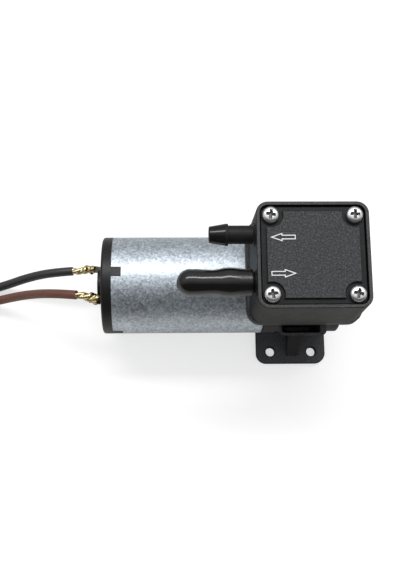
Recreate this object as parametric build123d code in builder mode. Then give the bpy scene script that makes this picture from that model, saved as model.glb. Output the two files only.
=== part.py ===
from build123d import *

import math
import os

# Laboratory diaphragm pump: a brushed motor turns an eccentric, and a ball-bearing rod works a
# clamped rubber diaphragm under two disc valves. The origin is the middle of the foot's underside,
# +Z is up, and the motor's shaft runs along X. Every size is in millimetres.

# Foot
foot_length = 27.0
foot_width = 54.0
foot_thickness = 2.5
foot_corner_radius = 4.0
foot_hole_diameter = 3.5
foot_hole_spacing_x = 16.0
foot_hole_spacing_y = 45.0
foot_hole_rim = 0.4
foot_edge = 0.5
rib_width = 4.4
rib_end_inset = 2.85
rib_end_height = 0.6
rib_slope = 45.0
rib_offset = 0.5
pedestal_width = 27.0

# Crankcase
shaft_height = 22.5
motor_face_offset = 13.0
crankcase_length = 25.0
crankcase_step = 0.4
crankcase_wall = 2.0
motor_wall = 3.2
neck_length = 4.4
pocket_length = 17.2
pocket_offset = 0.2
pocket_stand = 4.05
pocket_depth = 11.0
pocket_top = 14.2
pocket_wall = 1.05
pocket_cover_wall = 2.4
pocket_floor = 1.0
pocket_draft = 12.0
pocket_corner_radius = 1.9
pocket_lip = 0.3
tower_wall = 2.0
bore_ledge = 2.5
bore_floor = 2.0
parting_height = 22.3
flange_thickness = 5.0
flange_end_overhang = 1.0
flange_corner_radius = 5.0
flange_edge = 0.35
collar_height = 5.7
collar_wall = 3.1
can_relief = 0.3
side_cover_thickness = 3.0
side_cover_spigot = 1.5
side_cover_ring = 1.2
side_cover_dish = 0.8
side_cover_rim = 3.5
side_cover_gap = 0.05
vent_diameter = 2.4
vent_drop = 9.0

# Head
head_length = 37.4
head_width = 35.9
head_flare = 0.5
head_corner_radius = 4.0
rim_width = 1.2
rim_lip = 0.2
rim_edge = 0.4
recess_edge = 0.1
seat_ledge = 3.0
head_bore_gap = 0.2
floor_thickness = 4.8
plenum_height = 5.2
plenum_barb_wall = 3.2
plenum_far_wall = 6.7
plenum_side_wall = 7.95
plenum_rib = 2.4
chamber_wall = 5.95
plenum_corner_radius = 2.0
head_screw_inset_x = 4.82
head_screw_inset_y = 4.65

# Hose barbs
barb_side = 9.85
barb_drop = 5.75
barb_length = 15.4
barb_shank_diameter = 6.2
barb_shank_length = 9.0
barb_collar_diameter = 7.4
barb_collar_length = 1.0
barb_tip_diameter = 5.6
barb_bore_diameter = 3.5
barb_root = 0.8
barb_edge = 0.25

# Soft cap over the inlet barb
cap_length = 25.8
cap_diameter = 9.0
cap_bulge_diameter = 9.9
cap_root_diameter = 9.4
cap_barb_gap = 0.04
cap_end_wall = 1.6
cap_wall_gap = 0.25
cap_slack = 0.2
cap_mouth_length = 3.0
cap_slope_length = 4.5

# Cover and gasket
gasket_thickness = 0.8
cover_thickness = 1.6
cover_gap = 0.35
cover_raise = 0.95
cover_border = 1.75
cover_notch_radius = 4.1
cover_raised_corner = 0.5
cover_edge = 0.25
cover_border_edge = 0.15

# Cover screws
cover_screw_diameter = 3.0
cover_screw_head_diameter = 5.9
cover_screw_head_height = 2.3
cover_screw_bite = 4.4
cross_length = 3.0
cross_width = 0.75
cross_depth = 1.3
screw_hole_gap = 0.15
pilot_gap = 0.02

# Disc valves
valve_offset_x = 2.0
valve_side_gap = 0.4
valve_thickness = 0.8
valve_lift = 0.6
valve_seat_gap = 0.03
valve_post_diameter = 2.0
valve_post_gap = 0.1
valve_pocket_depth = 2.6
valve_pocket_gap = 0.7
port_diameter = 1.6
port_post_gap = 0.6
port_count = 4
retainer_diameter = 4.6
retainer_thickness = 0.7
retainer_grip = 0.3
post_press_gap = 0.01

# Diaphragm and its clamp
diaphragm_thickness = 1.6
diaphragm_edge_gap = 0.3
diaphragm_roll = 4.0
clamp_step = 1.0
clamp_thickness = 1.5
clamp_edge_radius = 0.5
clamp_screw_diameter = 2.5
clamp_screw_head_diameter = 4.6
clamp_screw_length = 10.0
clamp_screw_gap = 0.05
head_clearance = 0.3

# Crank: stroke, eccentric, rod and ball bearing
stroke = 3.6
rod_width = 6.0
rod_ring_diameter = 21.0
rod_shank_width = 8.0
rod_ring_wall = 2.0
rod_shank_thickness = 5.0
rod_seat_thickness = 2.5
bearing_bore = 8.0
bearing_diameter = 16.0
bearing_width = 5.0
race_thickness = 1.2
ball_diameter = 2.4
ball_count = 8
ball_gap = 0.05
cage_thickness = 0.7
cage_width = 3.4
press_gap = 0.01
eccentric_hub_diameter = 12.0
eccentric_shoulder_diameter = 9.6
journal_overrun = 0.2
counterweight_room = 2.5
counterweight_thickness = 2.6
counterweight_gap = 0.6
grub_screw_diameter = 3.0
grub_screw_length = 3.8
grub_socket = 1.5
shaft_flat = 0.5

# Motor
motor_diameter = 35.8
motor_can_length = 55.0
motor_can_wall = 1.1
motor_face_thickness = 1.5
motor_edge_radius = 1.0
motor_boss_diameter = 13.0
motor_boss_length = 3.0
motor_boss_gap = 0.1
motor_screw_inset = 5.4
motor_screw_diameter = 3.0
motor_screw_length = 6.0
motor_screw_head_diameter = 5.4
motor_screw_head_height = 2.0
shaft_diameter = 3.175
shaft_overrun = 3.0
shaft_rear_gap = 0.6
bush_diameter = 7.0
bush_length = 4.4
running_gap = 0.03
thrust_washer_diameter = 6.4
thrust_washer_thickness = 0.5
magnet_gap = 0.05
magnet_thickness = 3.15
magnet_rear_space = 10.0
magnet_half_opening = 7.0
magnet_front = 9.0
air_gap = 0.6
armature_rear_space = 14.0
armature_front = 13.0
slot_count = 5
slot_lip = 1.7
core_hub_diameter = 11.0
slot_mouth = 1.4
coil_gap = 0.15
coil_end_length = 2.8
coil_end_inner = 10.4
coil_end_inset = 1.7
commutator_diameter = 9.2
commutator_length = 7.4
commutator_groove = 0.4
brush_width = 3.0
brush_length = 4.0
brush_gap = 0.05
brush_arm_thickness = 0.4

# End cap, terminals and stripped conductors
end_cap_length = 3.8
end_cap_edge_radius = 1.0
end_cap_disc = 2.0
end_cap_skirt = 1.2
end_cap_skirt_length = 5.0
end_cap_dish = 0.6
end_cap_rim = 2.2
tab_width = 3.4
tab_length = 3.4
tab_gap = 0.1
tab_count = 4
tab_angle = 86.0
hub_diameter = 12.5
hub_height = 2.0
hub_wall = 1.0
terminal_radius = 8.4
terminal_angle = -41.0
terminal_thickness = 0.5
terminal_width = 2.8
terminal_reach = 5.0
conductor_diameter = 1.6
conductor_overlap = 3.6

# Leads: each route starts where the insulation starts, and its x is counted from the end cap's
# rear face
lead_diameter = 3.4
lead_rest_gap = 0.05
tip_diameter = 1.5
tip_length = 6.0
black_route = [
    (-12.3, 6.95, 16.5),
    (-20.7, 6.7, 15.4),
    (-30.7, 6.0, 9.6),
    (-40.7, 4.1, 3.6),
    (-51.7, 1.6, 1.75),
]
brown_route = [
    (-9.5, -4.8, 28.5),
    (-18, -3.6, 26.0),
    (-28.2, -1.95, 16.6),
    (-38.7, -1.75, 7.6),
    (-50.2, -3.2, 1.75),
]
loop_radius = 20.0
loop_step = 36.0
loop_corners = 8
black_loop_middle = (-67.2, 21.7)
brown_loop_middle = (-66.2, -22.6)
loop_start = 95.0

# Sizes that follow from what each piece fits
bore_diameter = head_width - 2 * chamber_wall
throat_diameter = bore_diameter - 2 * bore_ledge
tower_diameter = throat_diameter + 2 * tower_wall
rod_seat_diameter = bore_diameter - 2 * diaphragm_roll
clamp_diameter = rod_seat_diameter - 2 * clamp_step
head_screw_spacing_x = head_length - 2 * head_screw_inset_x
head_screw_spacing_y = head_width - 2 * head_screw_inset_y
barb_spacing = head_width - 2 * barb_side
plenum_length = head_length - plenum_barb_wall - plenum_far_wall
plenum_offset = (plenum_barb_wall - plenum_far_wall) / 2
plenum_width = (head_width - 2 * plenum_side_wall - plenum_rib) / 2
plenum_spacing = plenum_width + plenum_rib
valve_diameter = plenum_width - 2 * valve_side_gap
port_circle = valve_post_diameter + port_diameter + 2 * port_post_gap
crankcase_diameter = motor_diameter - 2 * crankcase_step
pocket_reach = crankcase_diameter / 2 + pocket_stand
motor_screw_circle = motor_diameter - 2 * motor_screw_inset
magnet_length = motor_can_length - magnet_front - magnet_rear_space
armature_length = motor_can_length - armature_front - armature_rear_space

# Heights that follow from the sizes above
eccentricity = stroke / 2
parting_z = shaft_height + parting_height
collar_z = parting_z + collar_height
shoulder_z = collar_z + diaphragm_thickness
chamber_height = eccentricity + clamp_thickness + head_clearance
floor_z = shoulder_z + chamber_height
seat_z = floor_z + floor_thickness
gasket_z = seat_z + plenum_height
cover_z = gasket_z + gasket_thickness
cover_top_z = cover_z + cover_thickness
rim_z = cover_top_z + cover_raise + rim_lip
barb_z = rim_z - barb_drop
pin_z = shaft_height - eccentricity
rod_seat_z = collar_z - eccentricity
clamp_z = rod_seat_z + diaphragm_thickness
clamp_top_z = clamp_z + clamp_thickness
inlet_ceiling_z = floor_z + valve_pocket_depth

# Places along the shaft that follow from the sizes above
can_front_x = -motor_face_offset
can_inside_x = can_front_x - motor_face_thickness
can_rear_x = can_front_x - motor_can_length
cap_rear_x = can_rear_x - end_cap_length
cap_inside_x = cap_rear_x + end_cap_disc
crank_wall_x = can_front_x + motor_wall
crank_open_x = can_front_x + crankcase_length
weight_front_x = -rod_width / 2 - counterweight_gap
weight_rear_x = weight_front_x - counterweight_thickness
hub_rear_x = crank_wall_x + counterweight_gap
shaft_rear_x = cap_rear_x - hub_height + hub_wall + shaft_rear_gap
armature_front_x = can_front_x - armature_front
armature_rear_x = armature_front_x - armature_length
commutator_front_x = armature_rear_x - coil_end_length - thrust_washer_thickness
commutator_rear_x = commutator_front_x - commutator_length

# Radii and other sizes that follow
cavity_radius = crankcase_diameter / 2 - crankcase_wall
counterweight_radius = cavity_radius - counterweight_room
collar_radius = bore_diameter / 2 + collar_wall
head_bore_radius = collar_radius + head_bore_gap
recess_length = head_length - 2 * rim_width
recess_width = head_width - 2 * rim_width
cover_length = recess_length - 2 * cover_gap
cover_width = recess_width - 2 * cover_gap
cover_corner_radius = head_corner_radius - rim_width - cover_gap
screw_hole_radius = cover_screw_diameter / 2 + screw_hole_gap
can_bore_radius = motor_diameter / 2 - motor_can_wall
armature_diameter = 2 * (can_bore_radius - magnet_gap - magnet_thickness - air_gap)
slot_diameter = (armature_diameter - core_hub_diameter) / 2 - slot_lip
slot_radius = (core_hub_diameter + slot_diameter) / 2
coil_end_outer = armature_diameter - 2 * coil_end_inset
shaft_radius = shaft_diameter / 2
lead_rest_z = lead_diameter / 2 + lead_rest_gap


def across(x):
    """Plane square to the shaft at x: its local x is the pump's Y, and its local y is Z."""
    return Plane(origin=(x, 0, shaft_height), x_dir=(0, 1, 0), z_dir=(1, 0, 0))


def across_pin(x):
    """Plane square to the eccentric's pin at x, with the crank at the bottom of its stroke."""
    return Plane(origin=(x, 0, pin_z), x_dir=(0, 1, 0), z_dir=(1, 0, 0))


def barb_plane(y):
    """Plane along a barb: local x runs out from the head's wall, and local y is up."""
    return Plane(origin=(-head_length / 2, y, barb_z), x_dir=(-1, 0, 0), z_dir=(0, 1, 0))


def level(z):
    """Plane at a height above the foot's underside."""
    return Plane.XY.offset(z)


shaft_axis = Axis((0, 0, shaft_height), (1, 0, 0))
pin_axis = Axis((0, 0, pin_z), (1, 0, 0))
outlet_y = plenum_spacing / 2
inlet_y = -plenum_spacing / 2

# Crankcase: foot, saddle, round body, side pockets, ribs, flange and the collar that clamps
with BuildPart() as crankcase:
    with BuildSketch():
        RectangleRounded(foot_length, foot_width, foot_corner_radius)
        with GridLocations(foot_hole_spacing_x, foot_hole_spacing_y, 2, 2):
            Circle(foot_hole_diameter / 2, mode=Mode.SUBTRACT)
    extrude(amount=foot_thickness)
    foot_rims = crankcase.edges().filter_by(GeomType.CIRCLE).group_by(Axis.Z)[-1]
    foot_holes = foot_rims.filter_by(lambda e: abs(e.radius - foot_hole_diameter / 2) < 0.01)
    foot_outline = foot_rims.filter_by(lambda e: e.radius > foot_hole_diameter)
    foot_outline += crankcase.edges().filter_by(GeomType.LINE).group_by(Axis.Z)[-1]
    chamfer(foot_holes, foot_hole_rim)
    fillet(foot_outline, foot_edge)
    with BuildSketch(level(foot_thickness)):
        Rectangle(pocket_length, pedestal_width)
    extrude(amount=shaft_height - foot_thickness)
    # Side pockets, open at the top under the flange, narrower towards their floors
    pocket_rim_z = shaft_height + pocket_top
    pocket_inset = pocket_depth * math.tan(math.radians(pocket_draft))
    for z, inset in ((pocket_rim_z - pocket_depth, pocket_inset), (pocket_rim_z, 0)):
        with BuildSketch(level(z)):
            with Locations((pocket_offset, 0)):
                RectangleRounded(
                    pocket_length - 2 * inset, 2 * (pocket_reach - inset), pocket_corner_radius
                )
    loft()
    for z, inset in ((pocket_rim_z - pocket_depth + pocket_floor, pocket_inset), (pocket_rim_z, 0)):
        with BuildSketch(level(z)):
            with Locations((pocket_offset + (pocket_wall - pocket_cover_wall) / 2, 0)):
                RectangleRounded(
                    pocket_length - pocket_wall - pocket_cover_wall - 2 * inset,
                    2 * (pocket_reach - pocket_wall - inset),
                    pocket_corner_radius - pocket_wall,
                )
    loft(mode=Mode.SUBTRACT)
    fillet(crankcase.edges().group_by(Axis.Z)[-1], pocket_lip)
    # Sloping gusset ribs from the foot's ends up to the round body
    with BuildSketch(Plane.YZ.offset(rib_offset - rib_width / 2)):
        rib_end = foot_width / 2 - rib_end_inset
        rib_end_z = foot_thickness + rib_end_height
        rib_top_z = rib_end_z + rib_end * math.tan(math.radians(rib_slope))
        with BuildLine():
            Polyline(
                (-rib_end, foot_thickness / 2),
                (rib_end, foot_thickness / 2),
                (rib_end, rib_end_z),
                (0, rib_top_z),
                (-rib_end, rib_end_z),
                close=True,
            )
        make_face()
    extrude(amount=rib_width)
    # Round body, the neck that meets the motor, and the tower under the flange
    with BuildSketch(across(can_front_x)):
        Circle(crankcase_diameter / 2)
    extrude(amount=crankcase_length)
    with BuildSketch(across(can_front_x)):
        Circle(motor_diameter / 2)
    extrude(amount=neck_length)
    with BuildSketch(level(shaft_height)):
        Circle(tower_diameter / 2)
    extrude(amount=parting_height)
    with BuildSketch(level(parting_z - flange_thickness)):
        RectangleRounded(
            head_length + 2 * (head_flare + flange_end_overhang),
            head_width + 2 * head_flare,
            flange_corner_radius,
        )
    extrude(amount=flange_thickness)
    flange_outside = crankcase.edges().filter_by(
        lambda e: max(abs(e.center().X), abs(e.center().Y)) > head_width / 2 - head_corner_radius
        and e.length > 2 * flange_thickness / 3
        and e.center().Z > parting_z - flange_thickness - flange_edge
        and abs(e.tangent_at(0.5).Z) < 0.5
    )
    fillet(flange_outside, flange_edge)
    with BuildSketch(level(parting_z)):
        Circle(collar_radius)
    extrude(amount=collar_height)
    # Crank space, throat and bore
    with BuildSketch(across(crank_wall_x)):
        Circle(cavity_radius)
    extrude(amount=crankcase_length, mode=Mode.SUBTRACT)
    with BuildSketch(level(shaft_height)):
        Circle(throat_diameter / 2)
    extrude(amount=parting_height, mode=Mode.SUBTRACT)
    with BuildSketch(level(parting_z - bore_floor)):
        Circle(bore_diameter / 2)
    extrude(amount=bore_floor + collar_height, mode=Mode.SUBTRACT)
    # Motor side: boss hole, screw holes and the flange's relief over the can and the side cover
    with BuildSketch(across(can_front_x)):
        Circle(motor_boss_diameter / 2 + motor_boss_gap)
        with PolarLocations(motor_screw_circle / 2, 2):
            Circle(motor_screw_diameter / 2 + screw_hole_gap)
    extrude(amount=motor_wall, mode=Mode.SUBTRACT)
    with BuildSketch(across(can_front_x)):
        Circle(motor_diameter / 2 + can_relief)
    extrude(amount=-head_length, mode=Mode.SUBTRACT)
    with BuildSketch(across(crank_open_x)):
        Circle(crankcase_diameter / 2 + can_relief)
    extrude(amount=head_length, mode=Mode.SUBTRACT)
    # Pilot holes for the cover screws
    with BuildSketch(level(parting_z)):
        with GridLocations(head_screw_spacing_x, head_screw_spacing_y, 2, 2):
            Circle(cover_screw_diameter / 2 + pilot_gap)
    extrude(amount=-flange_thickness, mode=Mode.SUBTRACT)

# Side cover that closes the crank space
with BuildPart() as crank_cover:
    with BuildSketch(across(crank_open_x)):
        Circle(crankcase_diameter / 2)
    extrude(amount=side_cover_thickness)
    outer_edge = crank_cover.edges().filter_by(GeomType.CIRCLE).sort_by(Axis.X)[-1]
    fillet(outer_edge, side_cover_dish)
    with BuildSketch(across(crank_open_x + side_cover_thickness)):
        Circle(crankcase_diameter / 2 - side_cover_rim)
        Circle(eccentric_hub_diameter / 2, mode=Mode.SUBTRACT)
    extrude(amount=-side_cover_dish, mode=Mode.SUBTRACT)
    with BuildSketch(across(crank_open_x)):
        Circle(cavity_radius - side_cover_gap)
        Circle(cavity_radius - side_cover_gap - side_cover_ring, mode=Mode.SUBTRACT)
    extrude(amount=-side_cover_spigot)
    with BuildSketch(across(crank_open_x)):
        with Locations((0, -vent_drop)):
            Circle(vent_diameter / 2)
    extrude(amount=side_cover_thickness, mode=Mode.SUBTRACT)

# Head body: drafted block with the diaphragm chamber, valve seats, plenums and two barbs
with BuildPart() as head_body:
    head_height = rim_z - parting_z
    with BuildSketch(level(parting_z)):
        RectangleRounded(
            head_length + 2 * head_flare,
            head_width + 2 * head_flare,
            head_corner_radius + head_flare,
        )
    extrude(amount=head_height, taper=math.degrees(math.atan(head_flare / head_height)))
    for barb_y in (-barb_spacing / 2, barb_spacing / 2):
        with BuildSketch(barb_plane(barb_y)):
            collar_end = barb_shank_length + barb_collar_length
            with BuildLine():
                Polyline(
                    (-rim_width / 2, 0),
                    (-rim_width / 2, barb_shank_diameter / 2 + barb_root),
                    (barb_root / 2, barb_shank_diameter / 2 + barb_root),
                    (barb_root, barb_shank_diameter / 2),
                    (barb_shank_length, barb_shank_diameter / 2),
                    (barb_shank_length, barb_collar_diameter / 2),
                    (collar_end, barb_collar_diameter / 2),
                    (barb_length - barb_edge, barb_tip_diameter / 2),
                    (barb_length, barb_tip_diameter / 2 - barb_edge),
                    (barb_length, 0),
                    close=True,
                )
            make_face()
        revolve(axis=Axis((-head_length / 2, barb_y, barb_z), (-1, 0, 0)))
    with BuildSketch(level(gasket_z)):
        RectangleRounded(recess_length, recess_width, head_corner_radius - rim_width)
    extrude(amount=rim_z - gasket_z, mode=Mode.SUBTRACT)
    rim_face = head_body.faces().sort_by(Axis.Z)[-1]
    fillet(rim_face.outer_wire().edges(), rim_edge)
    rim_face = head_body.faces().sort_by(Axis.Z)[-1]
    fillet(rim_face.inner_wires().edges(), recess_edge)
    with BuildSketch(level(seat_z)):
        with Locations((plenum_offset, inlet_y), (plenum_offset, outlet_y)):
            RectangleRounded(plenum_length, plenum_width, plenum_corner_radius)
    extrude(amount=plenum_height, mode=Mode.SUBTRACT)
    for barb_y in (-barb_spacing / 2, barb_spacing / 2):
        with BuildSketch(barb_plane(barb_y).offset(0)):
            with BuildLine():
                Polyline(
                    (barb_length, 0),
                    (barb_length, barb_bore_diameter / 2 + barb_edge),
                    (barb_length - barb_edge, barb_bore_diameter / 2),
                    (-seat_ledge - rim_width, barb_bore_diameter / 2),
                    (-seat_ledge - rim_width, 0),
                    close=True,
                )
            make_face()
        revolve(axis=Axis((-head_length / 2, barb_y, barb_z), (-1, 0, 0)), mode=Mode.SUBTRACT)
    # Diaphragm seat and working chamber
    with BuildSketch(level(parting_z)):
        Circle(head_bore_radius)
    extrude(amount=shoulder_z - parting_z, mode=Mode.SUBTRACT)
    with BuildSketch(level(shoulder_z)):
        Circle(bore_diameter / 2)
    extrude(amount=chamber_height, mode=Mode.SUBTRACT)
    # Inlet valve pocket under the floor, ports and the two valve posts
    with BuildSketch(level(floor_z)):
        with Locations((valve_offset_x, inlet_y)):
            Circle(valve_diameter / 2 + valve_pocket_gap)
    extrude(amount=valve_pocket_depth, mode=Mode.SUBTRACT)
    with BuildSketch(level(floor_z)):
        for port_y in (inlet_y, outlet_y):
            with Locations((valve_offset_x, port_y)):
                with PolarLocations(port_circle / 2, port_count, start_angle=45):
                    Circle(port_diameter / 2)
    extrude(amount=floor_thickness, mode=Mode.SUBTRACT)
    post_length = valve_seat_gap + valve_thickness + valve_lift + retainer_thickness + retainer_grip
    with BuildSketch(level(seat_z)):
        with Locations((valve_offset_x, outlet_y)):
            Circle(valve_post_diameter / 2)
    extrude(amount=post_length)
    with BuildSketch(level(inlet_ceiling_z)):
        with Locations((valve_offset_x, inlet_y)):
            Circle(valve_post_diameter / 2)
    extrude(amount=-post_length)
    with BuildSketch(level(parting_z)):
        with GridLocations(head_screw_spacing_x, head_screw_spacing_y, 2, 2):
            Circle(screw_hole_radius)
    extrude(amount=gasket_z - parting_z, mode=Mode.SUBTRACT)

# Rubber gasket under the cover, with a window over each plenum
with BuildPart() as cover_gasket:
    with BuildSketch(level(gasket_z)):
        RectangleRounded(cover_length, cover_width, cover_corner_radius)
        with Locations((plenum_offset, inlet_y), (plenum_offset, outlet_y)):
            RectangleRounded(
                plenum_length, plenum_width, plenum_corner_radius, mode=Mode.SUBTRACT
            )
        with GridLocations(head_screw_spacing_x, head_screw_spacing_y, 2, 2):
            Circle(screw_hole_radius, mode=Mode.SUBTRACT)
    extrude(amount=gasket_thickness)

# Cover plate: a thin slab with a raised middle that is notched round each screw
with BuildPart() as cover_plate:
    with BuildSketch(level(cover_z)):
        RectangleRounded(cover_length, cover_width, cover_corner_radius)
    extrude(amount=cover_thickness)
    fillet(cover_plate.edges().group_by(Axis.Z)[-1], cover_border_edge)
    with BuildSketch(level(cover_top_z)):
        RectangleRounded(
            cover_length - 2 * cover_border, cover_width - 2 * cover_border, cover_raised_corner
        )
        with GridLocations(head_screw_spacing_x, head_screw_spacing_y, 2, 2):
            Circle(cover_notch_radius, mode=Mode.SUBTRACT)
    extrude(amount=cover_raise)
    fillet(cover_plate.edges().group_by(Axis.Z)[-1], cover_edge)
    with BuildSketch(level(cover_z)):
        with GridLocations(head_screw_spacing_x, head_screw_spacing_y, 2, 2):
            Circle(screw_hole_radius)
    extrude(amount=cover_thickness, mode=Mode.SUBTRACT)

# One cover screw: pan head with a cross recess, standing on the origin
with BuildPart() as cover_screw:
    cover_screw_length = cover_top_z - parting_z + cover_screw_bite
    with BuildSketch(Plane.XZ):
        with BuildLine():
            head_radius = cover_screw_head_diameter / 2
            rise = Line((head_radius, 0), (head_radius, cover_screw_head_height * 0.45))
            crown_top = (head_radius * 0.45, cover_screw_head_height)
            crown = TangentArc(rise @ 1, crown_top, tangent=rise % 1)
            Polyline(
                crown @ 1,
                (0, cover_screw_head_height),
                (0, -cover_screw_length),
                (cover_screw_diameter / 2, -cover_screw_length),
                (cover_screw_diameter / 2, 0),
                rise @ 0,
            )
        make_face()
    revolve(axis=Axis.Z)
    with BuildSketch(level(cover_screw_head_height)):
        Rectangle(cross_length, cross_width)
        Rectangle(cross_width, cross_length)
    extrude(amount=-cross_depth, mode=Mode.SUBTRACT)

with BuildPart() as cover_screws:
    with Locations((0, 0, cover_top_z)):
        with GridLocations(head_screw_spacing_x, head_screw_spacing_y, 2, 2):
            add(cover_screw.part)

# Disc valves: the outlet disc lies on the floor, the inlet disc hangs under its pocket's ceiling
disc_bore_radius = valve_post_diameter / 2 + valve_post_gap
with BuildPart() as outlet_valve_disc:
    with BuildSketch(level(seat_z + valve_seat_gap)):
        with Locations((valve_offset_x, outlet_y)):
            Circle(valve_diameter / 2)
            Circle(disc_bore_radius, mode=Mode.SUBTRACT)
    extrude(amount=valve_thickness)

with BuildPart() as inlet_valve_disc:
    with BuildSketch(level(inlet_ceiling_z - valve_seat_gap)):
        with Locations((valve_offset_x, inlet_y)):
            Circle(valve_diameter / 2)
            Circle(disc_bore_radius, mode=Mode.SUBTRACT)
    extrude(amount=-valve_thickness)

# Push-on washers that limit each disc's lift
retainer_reach = valve_seat_gap + valve_thickness + valve_lift
with BuildPart() as valve_retainers:
    with BuildSketch(level(seat_z + retainer_reach)):
        with Locations((valve_offset_x, outlet_y)):
            Circle(retainer_diameter / 2)
            Circle(valve_post_diameter / 2 + post_press_gap, mode=Mode.SUBTRACT)
    extrude(amount=retainer_thickness)
    with BuildSketch(level(inlet_ceiling_z - retainer_reach)):
        with Locations((valve_offset_x, inlet_y)):
            Circle(retainer_diameter / 2)
            Circle(valve_post_diameter / 2 + post_press_gap, mode=Mode.SUBTRACT)
    extrude(amount=-retainer_thickness)

# Rubber diaphragm, drawn down by the rod at the bottom of the stroke
diaphragm_radius = head_bore_radius - diaphragm_edge_gap
with BuildPart() as diaphragm:
    with BuildSketch(Plane.XZ):
        hole_radius = clamp_screw_diameter / 2 + clamp_screw_gap
        with BuildLine():
            under = Line((hole_radius, rod_seat_z), (rod_seat_diameter / 2, rod_seat_z))
            slope = Line(under @ 1, (bore_diameter / 2, collar_z))
            Polyline(
                slope @ 1,
                (diaphragm_radius, collar_z),
                (diaphragm_radius, shoulder_z),
                (bore_diameter / 2, shoulder_z),
                (rod_seat_diameter / 2, clamp_z),
                (hole_radius, clamp_z),
                under @ 0,
            )
        make_face()
    revolve(axis=Axis.Z)

# Metal washer and countersunk screw that clamp the diaphragm to the rod
with BuildPart() as clamp_washer:
    with BuildSketch(level(clamp_z)):
        Circle(clamp_diameter / 2)
    extrude(amount=clamp_thickness)
    fillet(clamp_washer.edges().group_by(Axis.Z)[-1], clamp_edge_radius)
    with Locations((0, 0, clamp_top_z)):
        CounterSinkHole(
            radius=clamp_screw_diameter / 2 + clamp_screw_gap,
            counter_sink_radius=clamp_screw_head_diameter / 2 + clamp_screw_gap,
            depth=clamp_thickness,
            counter_sink_angle=90,
        )

with BuildPart() as clamp_screw:
    with BuildSketch(Plane.XZ):
        head_drop = (clamp_screw_head_diameter - clamp_screw_diameter) / 2
        with BuildLine():
            Polyline(
                (0, clamp_top_z),
                (clamp_screw_head_diameter / 2, clamp_top_z),
                (clamp_screw_diameter / 2, clamp_top_z - head_drop),
                (clamp_screw_diameter / 2, clamp_top_z - clamp_screw_length),
                (0, clamp_top_z - clamp_screw_length),
                close=True,
            )
        make_face()
    revolve(axis=Axis.Z)
    with BuildSketch(level(clamp_top_z)):
        Rectangle(clamp_screw_diameter, cross_width)
        Rectangle(cross_width, clamp_screw_diameter)
    extrude(amount=-cross_width, mode=Mode.SUBTRACT)

# Connecting rod: bearing ring, tapered shank and the round seat under the diaphragm
with BuildPart() as connecting_rod:
    with BuildSketch(across_pin(-rod_width / 2)):
        Circle(rod_ring_diameter / 2)
    extrude(amount=rod_width)
    with BuildSketch(across_pin(-rod_shank_thickness / 2)):
        seat_underside = rod_seat_z - rod_seat_thickness - pin_z
        with BuildLine():
            Polyline(
                (-rod_ring_diameter / 2 + rod_ring_wall, 0),
                (rod_ring_diameter / 2 - rod_ring_wall, 0),
                (rod_shank_width / 2, seat_underside + rod_seat_thickness / 2),
                (-rod_shank_width / 2, seat_underside + rod_seat_thickness / 2),
                close=True,
            )
        make_face()
    extrude(amount=rod_shank_thickness)
    with BuildSketch(level(rod_seat_z - rod_seat_thickness)):
        Circle(rod_seat_diameter / 2)
    extrude(amount=rod_seat_thickness)
    with BuildSketch(across_pin(-rod_width / 2)):
        Circle(bearing_diameter / 2 + press_gap)
    extrude(amount=rod_width, mode=Mode.SUBTRACT)
    with BuildSketch(level(rod_seat_z)):
        Circle(clamp_screw_diameter / 2 + pilot_gap)
    extrude(amount=clamp_top_z - clamp_screw_length - head_clearance - rod_seat_z, mode=Mode.SUBTRACT)

# Ball bearing between the journal and the rod
ball_circle_radius = (bearing_bore + bearing_diameter) / 4
pin_section = Plane(origin=(0, 0, pin_z), x_dir=(1, 0, 0), z_dir=(0, -1, 0))


def bearing_race(middle_radius):
    """One grooved race, revolved about the pin, from the radius of its wall's middle."""
    with BuildPart() as race:
        with BuildSketch(pin_section):
            with Locations((0, middle_radius)):
                Rectangle(bearing_width, race_thickness)
            with Locations((0, ball_circle_radius)):
                Circle(ball_diameter / 2 + ball_gap, mode=Mode.SUBTRACT)
        revolve(axis=pin_axis)
    return race.part


with BuildPart() as bearing_inner_race:
    add(bearing_race((bearing_bore + race_thickness) / 2))

with BuildPart() as bearing_outer_race:
    add(bearing_race((bearing_diameter - race_thickness) / 2))

with BuildPart(across_pin(0)) as bearing_balls:
    with PolarLocations(ball_circle_radius, ball_count):
        Sphere(ball_diameter / 2)

with BuildPart(across_pin(0)) as bearing_cage:
    with BuildSketch(across_pin(-cage_width / 2)):
        Circle(ball_circle_radius + cage_thickness / 2)
        Circle(ball_circle_radius - cage_thickness / 2, mode=Mode.SUBTRACT)
    extrude(amount=cage_width)
    with PolarLocations(ball_circle_radius, ball_count):
        Cylinder(
            ball_diameter / 2 + ball_gap,
            ball_diameter,
            rotation=(0, 90, 0),
            mode=Mode.SUBTRACT,
        )

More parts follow.
